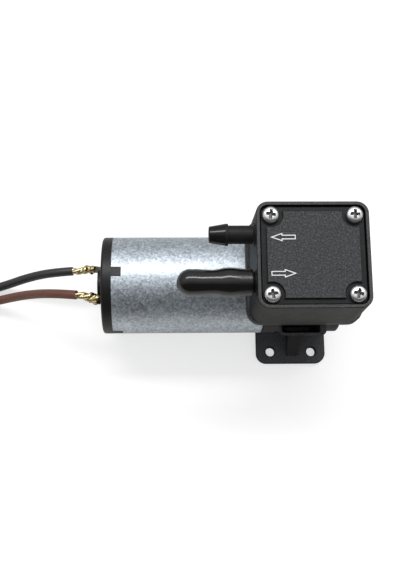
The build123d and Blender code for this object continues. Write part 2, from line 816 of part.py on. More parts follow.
# Eccentric: hub, counterweight, shoulder and the journal for the bearing
with BuildPart() as eccentric:
    with BuildSketch(across(hub_rear_x)):
        Circle(eccentric_hub_diameter / 2)
    extrude(amount=weight_front_x - hub_rear_x)
    with BuildSketch(across(weight_rear_x)):
        Circle(counterweight_radius)
        with Locations((0, -counterweight_radius / 2)):
            Rectangle(2 * counterweight_radius, counterweight_radius, mode=Mode.SUBTRACT)
    extrude(amount=counterweight_thickness)
    with BuildSketch(across_pin(weight_front_x)):
        Circle(eccentric_shoulder_diameter / 2)
    extrude(amount=-weight_front_x - bearing_width / 2)
    with BuildSketch(across_pin(weight_front_x)):
        Circle(bearing_bore / 2 - press_gap)
    extrude(amount=-weight_front_x + bearing_width / 2 + journal_overrun)
    with BuildSketch(across(hub_rear_x)):
        Circle(shaft_radius + press_gap)
    extrude(amount=crankcase_length, mode=Mode.SUBTRACT)
    grub_x = (hub_rear_x + weight_rear_x) / 2
    with BuildSketch(level(shaft_height)):
        with Locations((grub_x, 0)):
            Circle(grub_screw_diameter / 2 + press_gap)
    extrude(amount=-eccentric_hub_diameter, mode=Mode.SUBTRACT)

with BuildPart() as grub_screw:
    flat_depth = shaft_radius - shaft_flat
    with BuildSketch(level(shaft_height - flat_depth - press_gap)):
        with Locations((grub_x, 0)):
            Circle(grub_screw_diameter / 2)
    extrude(amount=-grub_screw_length)
    with BuildSketch(level(shaft_height - flat_depth - press_gap - grub_screw_length)):
        with Locations((grub_x, 0)):
            RegularPolygon(grub_socket / 2, 6, major_radius=False)
    extrude(amount=grub_socket, mode=Mode.SUBTRACT)

# Motor shaft with a flat under the grub screw
with BuildPart() as motor_shaft:
    with BuildSketch(across(shaft_rear_x)):
        Circle(shaft_radius)
    extrude(amount=shaft_overrun - shaft_rear_x)
    with BuildSketch(across(hub_rear_x)):
        with Locations((0, -shaft_diameter + shaft_flat)):
            Rectangle(2 * shaft_diameter, shaft_diameter)
    extrude(amount=weight_rear_x - hub_rear_x, mode=Mode.SUBTRACT)

# Armature: five slotted poles, the coils in their slots and the commutator
slot_pitch = 360 / slot_count
with BuildPart() as armature_core:
    with BuildSketch(across(armature_rear_x)):
        Circle(armature_diameter / 2)
        Circle(shaft_radius + press_gap, mode=Mode.SUBTRACT)
        with PolarLocations(slot_radius, slot_count, start_angle=slot_pitch / 4):
            Circle(slot_diameter / 2, mode=Mode.SUBTRACT)
            Rectangle(
                armature_diameter / 2, slot_mouth, align=(Align.MIN, Align.CENTER), mode=Mode.SUBTRACT
            )
    extrude(amount=armature_length)

with BuildPart() as armature_winding:
    for end_x, way in ((armature_front_x, 1), (armature_rear_x, -1)):
        with BuildSketch(across(end_x)):
            Circle(coil_end_outer / 2)
            Circle(coil_end_inner / 2, mode=Mode.SUBTRACT)
        extrude(amount=way * coil_end_length)
    rims = armature_winding.edges().filter_by(GeomType.CIRCLE)
    outer_rims = rims.filter_by(lambda e: e.radius > coil_end_outer / 2 - 0.01)
    fillet(outer_rims.group_by(Axis.X)[0] + outer_rims.group_by(Axis.X)[-1], coil_end_length / 2)
    with BuildSketch(across(armature_rear_x)):
        with PolarLocations(slot_radius, slot_count, start_angle=slot_pitch / 4):
            Circle(slot_diameter / 2 - coil_gap)
    extrude(amount=armature_length)

with BuildPart() as commutator:
    with BuildSketch(across(commutator_rear_x)):
        Circle(commutator_diameter / 2)
        with PolarLocations(commutator_diameter / 2, slot_count):
            Rectangle(2 * commutator_groove, commutator_groove, mode=Mode.SUBTRACT)
        Circle(shaft_radius + press_gap, mode=Mode.SUBTRACT)
    extrude(amount=commutator_length)

# Motor can: drawn cup with a front boss, tapped holes and notches for the end cap's tabs
with BuildPart() as motor_can:
    with BuildSketch(across(can_rear_x)):
        Circle(motor_diameter / 2)
    extrude(amount=motor_can_length)
    front_edge = motor_can.edges().filter_by(GeomType.CIRCLE).sort_by(Axis.X)[-1]
    fillet(front_edge, motor_edge_radius)
    with BuildSketch(across(can_front_x)):
        Circle(motor_boss_diameter / 2)
    extrude(amount=motor_boss_length)
    with BuildSketch(across(can_rear_x)):
        Circle(can_bore_radius)
    extrude(amount=motor_can_length - motor_face_thickness, mode=Mode.SUBTRACT)
    with BuildSketch(across(can_inside_x)):
        Circle(bush_diameter / 2 + press_gap)
        with PolarLocations(motor_screw_circle / 2, 2):
            Circle(motor_screw_diameter / 2 + pilot_gap)
    extrude(amount=motor_face_thickness + motor_boss_length, mode=Mode.SUBTRACT)
    with BuildSketch(across(can_rear_x)):
        with PolarLocations(motor_diameter / 2, tab_count, start_angle=tab_angle):
            Rectangle(4 * motor_can_wall, tab_width + 2 * tab_gap)
    extrude(amount=tab_length + tab_gap, mode=Mode.SUBTRACT)

# Two curved magnets against the can's wall
with BuildPart() as magnets:
    with BuildSketch(across(can_front_x - magnet_front)):
        Circle(can_bore_radius - magnet_gap)
        Circle(can_bore_radius - magnet_gap - magnet_thickness, mode=Mode.SUBTRACT)
        Rectangle(motor_diameter, 2 * magnet_half_opening, mode=Mode.SUBTRACT)
    extrude(amount=-magnet_length)

# End cap: rear disc with a bearing hub, a skirt inside the can and four tabs in its notches
skirt_radius = can_bore_radius - running_gap
with BuildPart() as motor_end_cap:
    with BuildSketch(across(cap_rear_x)):
        Circle(motor_diameter / 2)
    extrude(amount=end_cap_length)
    rear_edge = motor_end_cap.edges().filter_by(GeomType.CIRCLE).sort_by(Axis.X)[0]
    fillet(rear_edge, end_cap_edge_radius)
    with BuildSketch(across(can_rear_x)):
        with PolarLocations((motor_diameter - motor_can_wall) / 2, tab_count, start_angle=tab_angle):
            Rectangle(motor_can_wall, tab_width)
        Circle(skirt_radius)
    extrude(amount=tab_length)
    with BuildSketch(across(cap_inside_x)):
        Circle(skirt_radius - end_cap_skirt)
    extrude(amount=motor_can_length, mode=Mode.SUBTRACT)
    with BuildSketch(across(cap_rear_x)):
        Circle(motor_diameter / 2 - end_cap_rim)
    extrude(amount=end_cap_dish, mode=Mode.SUBTRACT)
    hub_rear = cap_rear_x - hub_height
    hub_length = hub_height + end_cap_disc + end_cap_skirt_length / 2
    with BuildSketch(across(hub_rear)):
        Circle(hub_diameter / 2)
    extrude(amount=hub_length)
    with BuildSketch(across(hub_rear + hub_wall)):
        Circle(bush_diameter / 2 + press_gap)
    extrude(amount=hub_length, mode=Mode.SUBTRACT)
    with BuildSketch(across(cap_rear_x)):
        with PolarLocations(terminal_radius, 2, start_angle=terminal_angle):
            Rectangle(terminal_thickness + 2 * press_gap, terminal_width + 2 * press_gap)
    extrude(amount=end_cap_disc, mode=Mode.SUBTRACT)

# Sintered bushes at both ends of the shaft, and the washers that take its end play
bush_front_x = can_inside_x + bush_length
bush_rear_x = cap_rear_x - hub_height + hub_wall


def bush(start_x):
    """A bush from start_x forwards, bored with the shaft's running gap."""
    with BuildPart() as made:
        with BuildSketch(across(start_x)):
            Circle(bush_diameter / 2)
            Circle(shaft_radius + running_gap, mode=Mode.SUBTRACT)
        extrude(amount=bush_length)
    return made.part


with BuildPart() as front_bush:
    add(bush(can_inside_x))

with BuildPart() as rear_bush:
    add(bush(bush_rear_x))

with BuildPart() as thrust_washers:
    washer_gap = 2 * running_gap
    washer_places = (
        can_inside_x - washer_gap - thrust_washer_thickness,
        bush_rear_x + bush_length + washer_gap,
    )
    for washer_x in washer_places:
        with BuildSketch(across(washer_x)):
            Circle(thrust_washer_diameter / 2)
            Circle(shaft_radius + press_gap, mode=Mode.SUBTRACT)
        extrude(amount=thrust_washer_thickness)

# Brushes, their spring arms and the terminals outside the end cap
brush_x = (commutator_front_x + commutator_rear_x - brush_length) / 2
brush_inner = commutator_diameter / 2 + brush_gap
arm_outer = terminal_radius - terminal_thickness / 2
brush_height = arm_outer - brush_arm_thickness - brush_inner
with BuildPart() as brushes:
    with BuildSketch(across(brush_x)):
        with PolarLocations(brush_inner + brush_height / 2, 2, start_angle=terminal_angle):
            Rectangle(brush_height, brush_width)
    extrude(amount=brush_length)

with BuildPart() as brush_arms:
    with BuildSketch(across(cap_inside_x)):
        with PolarLocations(arm_outer - brush_arm_thickness / 2, 2, start_angle=terminal_angle):
            Rectangle(brush_arm_thickness, brush_width)
    extrude(amount=brush_x + brush_length - cap_inside_x)

with BuildPart() as terminals:
    with BuildSketch(across(cap_rear_x - terminal_reach)):
        with PolarLocations(terminal_radius, 2, start_angle=terminal_angle):
            Rectangle(terminal_thickness, terminal_width)
    extrude(amount=terminal_reach + end_cap_length)

# Motor screws, put in from the crank space
with BuildPart() as motor_screws:
    with BuildSketch(across(crank_wall_x)):
        with PolarLocations(motor_screw_circle / 2, 2):
            Circle(motor_screw_head_diameter / 2)
    extrude(amount=motor_screw_head_height)
    fillet(motor_screws.edges().group_by(Axis.X)[-1], motor_screw_head_height / 4)
    with BuildSketch(across(crank_wall_x)):
        with PolarLocations(motor_screw_circle / 2, 2):
            Circle(motor_screw_diameter / 2)
    extrude(amount=-motor_screw_length)
    with BuildSketch(across(crank_wall_x + motor_screw_head_height)):
        with PolarLocations(motor_screw_circle / 2, 2):
            Rectangle(cross_length, cross_width)
            Rectangle(cross_width, cross_length)
    extrude(amount=-cross_depth, mode=Mode.SUBTRACT)

# Soft cap pulled over the inlet barb, with its end closed as a dome
inlet_barb_y = -barb_spacing / 2
with BuildPart() as inlet_cap:
    with BuildSketch(barb_plane(inlet_barb_y)):
        cap_bore_radius = barb_collar_diameter / 2 + cap_barb_gap
        cap_start = barb_root + cap_wall_gap
        cap_end = cap_start + cap_length
        dome_start = cap_end - cap_diameter / 2
        bulge_at = barb_shank_length + barb_collar_length / 2
        with BuildLine():
            skin = Spline(
                (cap_start, cap_root_diameter / 2),
                (cap_start + cap_mouth_length, (cap_diameter + cap_slack) / 2),
                (bulge_at, cap_bulge_diameter / 2),
                (bulge_at + cap_slope_length, (cap_diameter + cap_slack) / 2),
                (dome_start, cap_diameter / 2),
                tangents=((1, 0), (1, 0)),
            )
            dome = CenterArc((dome_start, 0), cap_diameter / 2, 90, -90)
            Polyline(
                dome @ 1,
                (cap_end - cap_end_wall, 0),
                (cap_end - cap_end_wall, cap_bore_radius * 0.5),
                (dome_start, cap_bore_radius),
                (cap_start, cap_bore_radius),
                skin @ 0,
            )
        make_face()
    revolve(axis=Axis((-head_length / 2, inlet_barb_y, barb_z), (-1, 0, 0)))


def corner_radii(points):
    """Radius of each corner's arc: 0.45 of its shorter run over the tangent of half its turn."""
    radii = []
    for before, here, after in zip(points, points[1:], points[2:]):
        way_in = Vector(*here) - Vector(*before)
        way_out = Vector(*after) - Vector(*here)
        half_turn = math.radians(way_in.get_angle(way_out)) / 2
        radii.append(0.45 * min(way_in.length, way_out.length) / math.tan(half_turn))
    return radii


def from_end_cap(points):
    """Route points with their x counted from the end cap's rear face."""
    return [(cap_rear_x + x, y, z) for x, y, z in points]


def loop_points(middle, way):
    """Corners of the loop in which the far part of a lead lies; way is 1 towards +Y, -1 towards -Y."""
    points = []
    for step in range(loop_corners):
        angle = math.radians(-way * (loop_start + step * loop_step))
        x = middle[0] + loop_radius * math.cos(angle)
        y = middle[1] + loop_radius * math.sin(angle)
        points.append((x, y, lead_rest_z))
    return points


def round_tube(points, diameter):
    """Tube along straight runs joined by tangent arcs."""
    with BuildPart() as tube:
        with BuildLine() as path:
            if len(points) > 2:
                FilletPolyline(*points, radius=corner_radii(points))
            else:
                Line(*points)
        with BuildSketch(path.wires()[0] ^ 0):
            Circle(diameter / 2)
        sweep(path=path.wires()[0])
    return tube.part, path.wires()[0].length


def lead(name, route, middle, way):
    """A lead and its bare tip: the route, then the loop, then the tinned end."""
    points = from_end_cap(route + loop_points(middle, way))
    radii = corner_radii(points)
    tube, length = round_tube(points, lead_diameter)
    section = math.pi * lead_diameter**2 / 4
    print(name, "length", round(length, 1), "volume", round(tube.volume / (section * length), 4))
    print(name, "radii", [round(r, 1) for r in radii])
    heading = (Vector(*points[-1]) - Vector(*points[-2])).normalized()
    tip_end = Vector(*points[-1]) + heading * tip_length
    tip, _ = round_tube([points[-1], tuple(tip_end)], tip_diameter)
    return tube, tip


black_tube, black_tip = lead("black_lead", black_route, black_loop_middle, 1)
brown_tube, brown_tip = lead("brown_lead", brown_route, brown_loop_middle, -1)

with BuildPart() as black_lead:
    add(black_tube)

with BuildPart() as black_lead_tip:
    add(black_tip)

with BuildPart() as brown_lead:
    add(brown_tube)

with BuildPart() as brown_lead_tip:
    add(brown_tip)


def conductor(route, side, angle):
    """Stripped conductor soldered along one side of a terminal, ending at the insulation's face."""
    offset = terminal_radius + side * (terminal_thickness + conductor_diameter) / 2
    y = offset * math.cos(math.radians(angle))
    z = shaft_height + offset * math.sin(math.radians(angle))
    joint_x = cap_rear_x - terminal_reach
    on_tab = (joint_x + conductor_overlap, y, z)
    off_tab = (joint_x - conductor_diameter, y, z)
    start, onward = from_end_cap(route[:2])
    heading = (Vector(*onward) - Vector(*start)).normalized()
    in_line = tuple(Vector(*start) - heading * conductor_diameter)
    return round_tube([on_tab, off_tab, in_line, start], conductor_diameter)[0]


with BuildPart() as lead_ends:
    add(conductor(black_route, 1, terminal_angle))
    add(conductor(brown_route, -1, terminal_angle + 180))

nodes = {
    "crankcase": crankcase,
    "crank_cover": crank_cover,
    "head_body": head_body,
    "cover_gasket": cover_gasket,
    "cover_plate": cover_plate,
    "cover_screws": cover_screws,
    "outlet_valve_disc": outlet_valve_disc,
    "inlet_valve_disc": inlet_valve_disc,
    "valve_retainers": valve_retainers,
    "diaphragm": diaphragm,
    "clamp_washer": clamp_washer,
    "clamp_screw": clamp_screw,
    "connecting_rod": connecting_rod,
    "bearing_inner_race": bearing_inner_race,
    "bearing_outer_race": bearing_outer_race,
    "bearing_balls": bearing_balls,
    "bearing_cage": bearing_cage,
    "eccentric": eccentric,
    "grub_screw": grub_screw,
    "motor_shaft": motor_shaft,
    "armature_core": armature_core,
    "armature_winding": armature_winding,
    "commutator": commutator,
    "motor_can": motor_can,
    "magnets": magnets,
    "motor_end_cap": motor_end_cap,
    "front_bush": front_bush,
    "rear_bush": rear_bush,
    "thrust_washers": thrust_washers,
    "brushes": brushes,
    "brush_arms": brush_arms,
    "terminals": terminals,
    "motor_screws": motor_screws,
    "inlet_cap": inlet_cap,
    "lead_ends": lead_ends,
    "black_lead": black_lead,
    "brown_lead": brown_lead,
    "black_lead_tip": black_lead_tip,
    "brown_lead_tip": brown_lead_tip,
}
os.makedirs("parts", exist_ok=True)
for node_name, node in nodes.items():
    node.part.label = node_name
    export_step(node.part, f"parts/{node_name}.step")
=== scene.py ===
"""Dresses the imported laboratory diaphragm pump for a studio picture.

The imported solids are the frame. Materials, turned screws, flow arrows, the soft transport cap, the
soldered conductors and the two leads are added around them, in metres and in the same axes.
"""

import logging
import math
from collections.abc import Iterable, Sequence
from dataclasses import dataclass
from enum import Enum
from functools import cache
from typing import Any

import bmesh
import bpy
from mathutils import Matrix, Vector, noise


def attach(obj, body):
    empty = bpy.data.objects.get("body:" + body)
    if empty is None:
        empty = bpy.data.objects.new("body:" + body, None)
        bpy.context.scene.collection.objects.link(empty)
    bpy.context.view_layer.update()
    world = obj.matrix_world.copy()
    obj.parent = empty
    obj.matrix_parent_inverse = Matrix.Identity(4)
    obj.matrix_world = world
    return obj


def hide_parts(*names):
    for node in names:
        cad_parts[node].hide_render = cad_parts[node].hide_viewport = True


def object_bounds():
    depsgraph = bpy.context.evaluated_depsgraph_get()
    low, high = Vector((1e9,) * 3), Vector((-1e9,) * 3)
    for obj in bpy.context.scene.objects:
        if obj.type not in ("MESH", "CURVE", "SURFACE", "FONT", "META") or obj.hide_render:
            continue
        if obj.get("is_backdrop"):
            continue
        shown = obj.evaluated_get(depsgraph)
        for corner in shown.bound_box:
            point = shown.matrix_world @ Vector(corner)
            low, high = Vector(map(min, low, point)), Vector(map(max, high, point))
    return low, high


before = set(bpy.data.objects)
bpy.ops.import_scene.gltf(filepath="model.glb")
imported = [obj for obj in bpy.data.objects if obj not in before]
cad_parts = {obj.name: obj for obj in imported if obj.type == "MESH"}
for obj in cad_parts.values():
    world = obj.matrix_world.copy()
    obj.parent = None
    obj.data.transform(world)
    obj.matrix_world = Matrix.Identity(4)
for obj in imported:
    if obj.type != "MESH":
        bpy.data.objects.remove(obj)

log = logging.getLogger("pump")

MM = 0.001
WELD = 0.0005 * MM
PICTURE_LONG_SIDE = 570

Colour = tuple[float, float, float]
Point = tuple[float, float, float]
Pair = tuple[float, float]
Thing = bpy.types.Object
Shape = bmesh.types.BMesh
Sockets = dict[str | int, Any]


def in_metres(points: Iterable[Point]) -> list[Vector]:
    """Gives points written in millimetres as vectors in metres."""
    return [Vector(p) * MM for p in points]


class Value:
    """A socket's value in a material, so that shader maths reads as ordinary maths."""

    def __init__(self, graph: "Graph", socket: bpy.types.NodeSocket) -> None:
        """Wraps an output socket of one node of the graph."""
        self.graph = graph
        self.socket = socket

    def maths(self, operation: str, *operands: "Value | float") -> "Value":
        """Gives what a Math node makes of its operands, in their order."""
        inputs = dict(enumerate(operands))
        return self.graph.node("Math", {"operation": operation}, inputs)

    def __add__(self, other: "Value | float") -> "Value":
        """Gives self + other."""
        return self.maths("ADD", self, other)

    __radd__ = __add__

    def __sub__(self, other: "Value | float") -> "Value":
        """Gives self - other."""
        return self.maths("SUBTRACT", self, other)

    def __rsub__(self, other: float) -> "Value":
        """Gives other - self."""
        return self.maths("SUBTRACT", other, self)

    def __mul__(self, other: "Value | float") -> "Value":
        """Gives self * other."""
        return self.maths("MULTIPLY", self, other)

    __rmul__ = __mul__

    def __truediv__(self, other: "Value | float") -> "Value":
        """Gives self / other."""
        return self.maths("DIVIDE", self, other)

    def __pow__(self, other: "Value | float") -> "Value":
        """Gives self to the power of other."""
        return self.maths("POWER", self, other)

    def __abs__(self) -> "Value":
        """Gives the value without its sign."""
        return self.maths("ABSOLUTE", self)

    def clamped(self) -> "Value":
        """Gives the value kept from 0 to 1."""
        return self.maths("MAXIMUM", self.maths("MINIMUM", self, 1.0), 0.0)

    def ramp(self, low: float, high: float) -> "Value":
        """Gives 0 below low, 1 above high and a straight line between them."""
        return ((self - low) / (high - low)).clamped()


class Graph:
    """A material's node tree, or the world's, written as expressions."""

    def __init__(self, owner: bpy.types.ID) -> None:
        """Empties the tree of a material or world, so that it holds only what is asked for.

        Args:
            owner: the material or the world.
        """
        owner.use_nodes = True
        self.tree = owner.node_tree
        self.tree.nodes.clear()

    def node(
        self,
        kind: str,
        settings: dict[str, Any] | None = None,
        inputs: Sockets | None = None,
        output: str | int = 0,
    ) -> Value:
        """Adds one node.

        Args:
            kind: the node's type, without ShaderNode before it.
            settings: its properties.
            inputs: values or links of its sockets, by name or number.
            output: the socket that is wanted from it.

        Returns:
            That output.
        """
        made = self.tree.nodes.new("ShaderNode" + kind)
        for name, value in (settings or {}).items():
            setattr(made, name, value)
        for name, value in (inputs or {}).items():
            if isinstance(value, Value):
                self.tree.links.new(value.socket, made.inputs[name])
            else:
                made.inputs[name].default_value = value
        return Value(self, made.outputs[output]) if len(made.outputs) else Value(self, None)

    def coordinates(self) -> Value:
        """Gives the Object coordinates, in metres."""
        return self.node("TexCoord", output="Object")

    def axis(self, name: str) -> Value:
        """Gives one Object coordinate, X, Y or Z."""
        return self.part(self.coordinates(), name)

    def part(self, vector: Value, name: str) -> Value:
        """Gives the X, Y or Z of a vector."""
        return self.node("SeparateXYZ", inputs={0: vector}, output=name)

    def noise(self, size: float, detail: float = 2.0, stretch: Point = (1, 1, 1)) -> Value:
        """Adds noise with patches of a real size.

        Args:
            size: how far apart the patches are, in metres.
            detail: the number of finer octaves.
            stretch: how much longer the patches are along each axis.

        Returns:
            A value from 0 to 1.
        """
        place = self.coordinates()
        if stretch != (1, 1, 1):
            scale = tuple(1 / s for s in stretch)
            place = self.node("Mapping", inputs={"Vector": place, "Scale": scale})
        inputs = {"Vector": place, "Scale": 1 / size, "Detail": detail, "Roughness": 0.6}
        return self.node("TexNoise", inputs=inputs)

    def blend(self, factor: Value, low: Any, high: Any) -> Value:
        """Mixes two colours.

        Args:
            factor: 0 for the first and 1 for the second.
            low: the first colour, a tuple or a Value.
            high: the second colour.

        Returns:
            The mixed colour.
        """
        colours = [c if isinstance(c, Value) else (*c, 1.0) for c in (low, high)]
        inputs = {0: factor, 6: colours[0], 7: colours[1]}
        return self.node("Mix", {"data_type": "RGBA"}, inputs, output=2)

    def bump(self, height: Value, depth: float, normal: Value | None = None) -> Value:
        """Adds a Bump node.

        Args:
            height: a value from 0 to 1.
            depth: how deep the relief is, in metres.
            normal: an earlier normal, such as that of rounded edges.

        Returns:
            The normal.
        """
        inputs: Sockets = {"Height": height, "Distance": depth, "Strength": 1.0}
        if normal is not None:
            inputs["Normal"] = normal
        return self.node("Bump", inputs=inputs)

    def rounded(self, radius: float) -> Value:
        """Gives normals that round sharp edges off by a radius in metres."""
        return self.node("Bevel", {"samples": 4}, {"Radius": radius})

    def surface(self, inputs: Sockets) -> None:
        """Ends the tree in one Principled shader with these inputs."""
        shader = self.node("BsdfPrincipled", inputs=inputs)
        self.node("OutputMaterial", inputs={"Surface": shader})

    def seen_by(self, ray: str, chosen: Value, other: Value) -> Value:
        """Gives one shader to a kind of ray and the other shader to the rest."""
        share = self.node("LightPath", output=ray)
        return self.node("MixShader", inputs={0: share, 1: other, 2: chosen})


@dataclass(frozen=True)
class Finish:
    """What every finish has: a name, a colour and how it makes its material."""

    name: str
    colour: Colour
    roughness: float

    def sockets(self, graph: Graph) -> Sockets:
        """Gives the inputs of the shader. Each kind of finish has its own."""
        raise NotImplementedError

    def material(self) -> bpy.types.Material:
        """Makes the material.

        Returns:
            The material, with its own node tree.
        """
        made = bpy.data.materials.new(self.name)
        graph = Graph(made)
        graph.surface(self.sockets(graph))
        return made

    def tint(self, share: float) -> Colour:
        """Gives the colour made lighter or darker by a share."""
        return tuple(min(1.0, c * share) for c in self.colour)


@dataclass(frozen=True)
class MouldedPlastic(Finish):
    """Black engineering plastic: an eroded mould's grain on some faces, a smoother one on the rest, and
    painted light on the grained faces that look up.
    """

    grain: float = 0.3 * MM
    relief: float = 0.012 * MM
    speck: float = 0.35
    mottle: float = 0.22
    edge: float = 0.12 * MM
    gloss: float = 0.35
    # painted light: how much paler the grained faces that look up are painted, and the height above which
    # they lie
    frost_and_top_light: float = 1.0
    frost_and_top_light_above: float | None = None
    gloss_from_x: float | None = None
    gloss_roughness: float = 0.2

    def sockets(self, graph: Graph) -> Sockets:
        """Grain in colour, roughness and relief, over slow cloudiness, with painted light that makes
        grained faces looking up paler.

        Args:
            graph: the material's node tree.

        Returns:
            The shader's inputs, by name.
        """
        fine = graph.noise(self.grain, 3.0)
        clouds = graph.noise(5 * MM, 3.0)
        specks = graph.noise(self.grain * 1.5, 1.0).ramp(0.5, 0.78)
        shade = clouds * self.mottle + (fine - 0.5) * 0.5 + (specks * self.speck + 0.2)
        colour = graph.blend(shade.clamped(), self.tint(0.55), self.tint(2.2))
        rough = self.roughness + (clouds - 0.5) * 0.16 + (fine - 0.5) * 0.12
        relief = fine
        # painted light: grained faces that look up get a paler colour, as if lit from above; their grain,
        # gloss and relief are real
        if self.frost_and_top_light_above is not None:
            grained_lit_tops = self._frosted(graph)
            colour = graph.blend(grained_lit_tops, colour, self._frost_colour(graph, fine, specks))
            rough = rough + grained_lit_tops * 0.08
            relief = fine * (grained_lit_tops * 0.7 + 0.3)
        if self.gloss_from_x is not None:
            polish = 1 - graph.axis("X").ramp(self.gloss_from_x - 0.15 * MM, self.gloss_from_x)
            rough = rough * (1 - polish) + (polish * self.gloss_roughness)
            relief = relief * (1 - polish * 0.85)
        normal = graph.bump(relief, self.relief, graph.rounded(self.edge))
        surface = {"Base Color": colour, "Roughness": rough, "Normal": normal}
        return surface | {"IOR": 1.5, "Specular IOR Level": self.gloss}

    def _frosted(self, graph: Graph) -> Value:
        """Finds the grained faces, which look up and lie above the given height, and which are painted
        paler as if lit from above.

        Args:
            graph: the material's node tree.

        Returns:
            1 on them and 0 elsewhere.
        """
        facing = graph.node("NewGeometry", output="True Normal")
        height = graph.axis("Z").ramp(self.frost_and_top_light_above - 0.02 * MM, self.frost_and_top_light_above + 0.02 * MM)
        return graph.part(facing, "Z").ramp(0.7, 0.95) * height

    def _frost_colour(self, graph: Graph, fine: Value, specks: Value) -> Value:
        """Gives the speckled colour of the grained faces, made paler by painted light from above."""
        shade = (fine - 0.5) * 2.4 + (specks * self.speck + 0.36)
        return graph.blend(shade.clamped(), self.tint(0.7 * self.frost_and_top_light), self.tint(3.9 * self.frost_and_top_light))


@dataclass(frozen=True)
class SmoothRubber(Finish):
    """Rubber or extruded insulation: faint lengthwise unevenness and fine pits."""

    pit: float = 0.4 * MM
    relief: float = 0.006 * MM
    along: Point = (1, 1, 1)

    def sockets(self, graph: Graph) -> Sockets:
        """Slow change of tone, with a little relief.

        Args:
            graph: the material's node tree.

        Returns:
            The shader's inputs, by name.
        """
        clouds = graph.noise(3 * MM, 2.0, self.along)
        fine = graph.noise(self.pit, 2.0)
        colour = graph.blend(clouds, self.tint(0.8), self.tint(1.25))
        rough = self.roughness + (clouds - 0.5) * 0.15 + (fine - 0.5) * 0.08
        normal = graph.bump(fine, self.relief)
        return {"Base Color": colour, "Roughness": rough, "Normal": normal}


@dataclass(frozen=True)
class DippedVinyl(Finish):
    """Dip-moulded soft vinyl: wet gloss on the dome, scuffed and duller where it grips the barb."""

    scuffed_from_x: float = -26.5 * MM
    scuffed_roughness: float = 0.27

    def sockets(self, graph: Graph) -> Sockets:
        """A clear gloss that breaks up towards the root.

        Args:
            graph: the material's node tree.

        Returns:
            The shader's inputs, by name.
        """
        clouds = graph.noise(2.6 * MM, 2.0)
        fine = graph.noise(0.22 * MM, 3.0)
        scuff = graph.axis("X").ramp(self.scuffed_from_x, self.scuffed_from_x + 3 * MM)
        colour = graph.blend(clouds, self.tint(0.8), self.tint(1.3))
        dull = self.scuffed_roughness + (fine - 0.5) * 0.4
        rough = self.roughness * (1 - scuff) + dull * scuff
        normal = graph.bump(fine * scuff, 0.03 * MM)
        return {"Base Color": colour, "Roughness": rough, "Normal": normal} | {
            "Coat Weight": (1 - scuff) * 0.25,
            "Coat Roughness": 0.12,
            "IOR": 1.36,
            "Specular IOR Level": 0.8,
        }


@dataclass(frozen=True)
class ZincSheet(Finish):
    """Zinc-coated sheet steel with a small spangle and faint rolled streaks."""

    spangle: float = 0.62 * MM
    patch: float = 3.2 * MM
    ragged: float = 0.6 * MM

    def sockets(self, graph: Graph) -> Sockets:
        """Small crystals of slightly different tone and gloss under a fine tooth.

        Args:
            graph: the material's node tree.

        Returns:
            The shader's inputs, by name.
        """
        shift = (graph.noise(self.ragged, 2.0) - 0.5) * self.ragged
        nudge = graph.node("CombineXYZ", inputs={0: shift, 1: shift, 2: shift})
        moved = {0: graph.coordinates(), 1: nudge}
        place = graph.node("VectorMath", {"operation": "ADD"}, moved)
        inputs = {"Vector": place, "Scale": 1 / self.spangle}
        crystal = graph.node("TexVoronoi", {"feature": "F1"}, inputs, "Color")
        grey = graph.node("SeparateColor", inputs={0: crystal})
        patches = graph.noise(self.patch, 4.0, (1.6, 1, 1))
        fine = graph.noise(0.5 * MM, 3.0, (1.4, 1, 1))
        shade = (grey * 0.3 + patches * 0.25 + fine * 0.45).ramp(0.25, 0.75)
        colour = graph.blend(shade, self.tint(0.5), self.tint(1.45))
        rough = self.roughness + (grey - 0.5) * 0.1 + (fine - 0.5) * 0.2
        normal = graph.bump(grey * 0.4 + fine * 0.6, 0.005 * MM)
        return {"Base Color": colour, "Roughness": rough, "Normal": normal, "Metallic": 1.0}


@dataclass(frozen=True)
class BareMetal(Finish):
    """Turned, ground, cast or plated metal, with tool marks round one axis or a plain tooth."""

    tooth: float = 0.3 * MM
    relief: float = 0.004 * MM
    # painted shade: the colour and share of darker random patches that stand in for shade between strands
    stain: Colour = (0.0, 0.0, 0.0)
    stain_share: float = 0.0
    stretch: Point = (1, 1, 1)
    edge: float = 0.08 * MM
    recess_at: Point | None = None
    recess_radius: float = 1.85 * MM
    # painted shade: how dark the driver recesses are painted, as a share of the colour
    painted_recess_shade: float = 0.34

    def sockets(self, graph: Graph) -> Sockets:
        """Fine tooth, slow change of gloss, painted shade in darker random patches where one is given,
        and painted shade in the driver recesses where they are given.

        Args:
            graph: the material's node tree.

        Returns:
            The shader's inputs, by name.
        """
        fine = graph.noise(self.tooth, 3.0, self.stretch)
        clouds = graph.noise(2.2 * MM, 3.0)
        colour = graph.blend(fine, self.tint(0.82), self.tint(1.15))
        # painted shade: darker patches, laid at random, stand in for the shade between the strands
        if self.stain_share:
            painted_shade_mask = clouds.ramp(0.5, 0.68) * self.stain_share
            colour = graph.blend(painted_shade_mask, colour, self.stain)
        rough = self.roughness + (clouds - 0.5) * 0.14 + (fine - 0.5) * 0.1
        metal: Value | float = 1.0
        if self.recess_at is not None:
            # painted shade: the driver recesses are painted darker, duller and less metallic, standing in
            # for the shade inside them
            inside = self._inside(graph)
            colour = graph.blend(inside, colour, self.tint(self.painted_recess_shade))
            rough = rough + inside * 0.3
            metal = 1 - inside * 0.75
        normal = graph.bump(fine, self.relief, graph.rounded(self.edge))
        return {"Base Color": colour, "Roughness": rough, "Normal": normal, "Metallic": metal}

    def _inside(self, graph: Graph) -> Value:
        """Finds the driver recesses, where shade is painted, for pieces that stand at one place mirrored
        in X and Y.

        Args:
            graph: the material's node tree.

        Returns:
            1 inside them and 0 elsewhere.
        """
        x = abs(graph.axis("X")) - self.recess_at[0]
        y = abs(graph.axis("Y")) - self.recess_at[1]
        away = (x**2.0 + y**2.0) ** 0.5
        near = 1 - away.ramp(self.recess_radius - 0.05 * MM, self.recess_radius)
        return near * (1 - graph.axis("Z").ramp(self.recess_at[2] - 0.12 * MM, self.recess_at[2]))


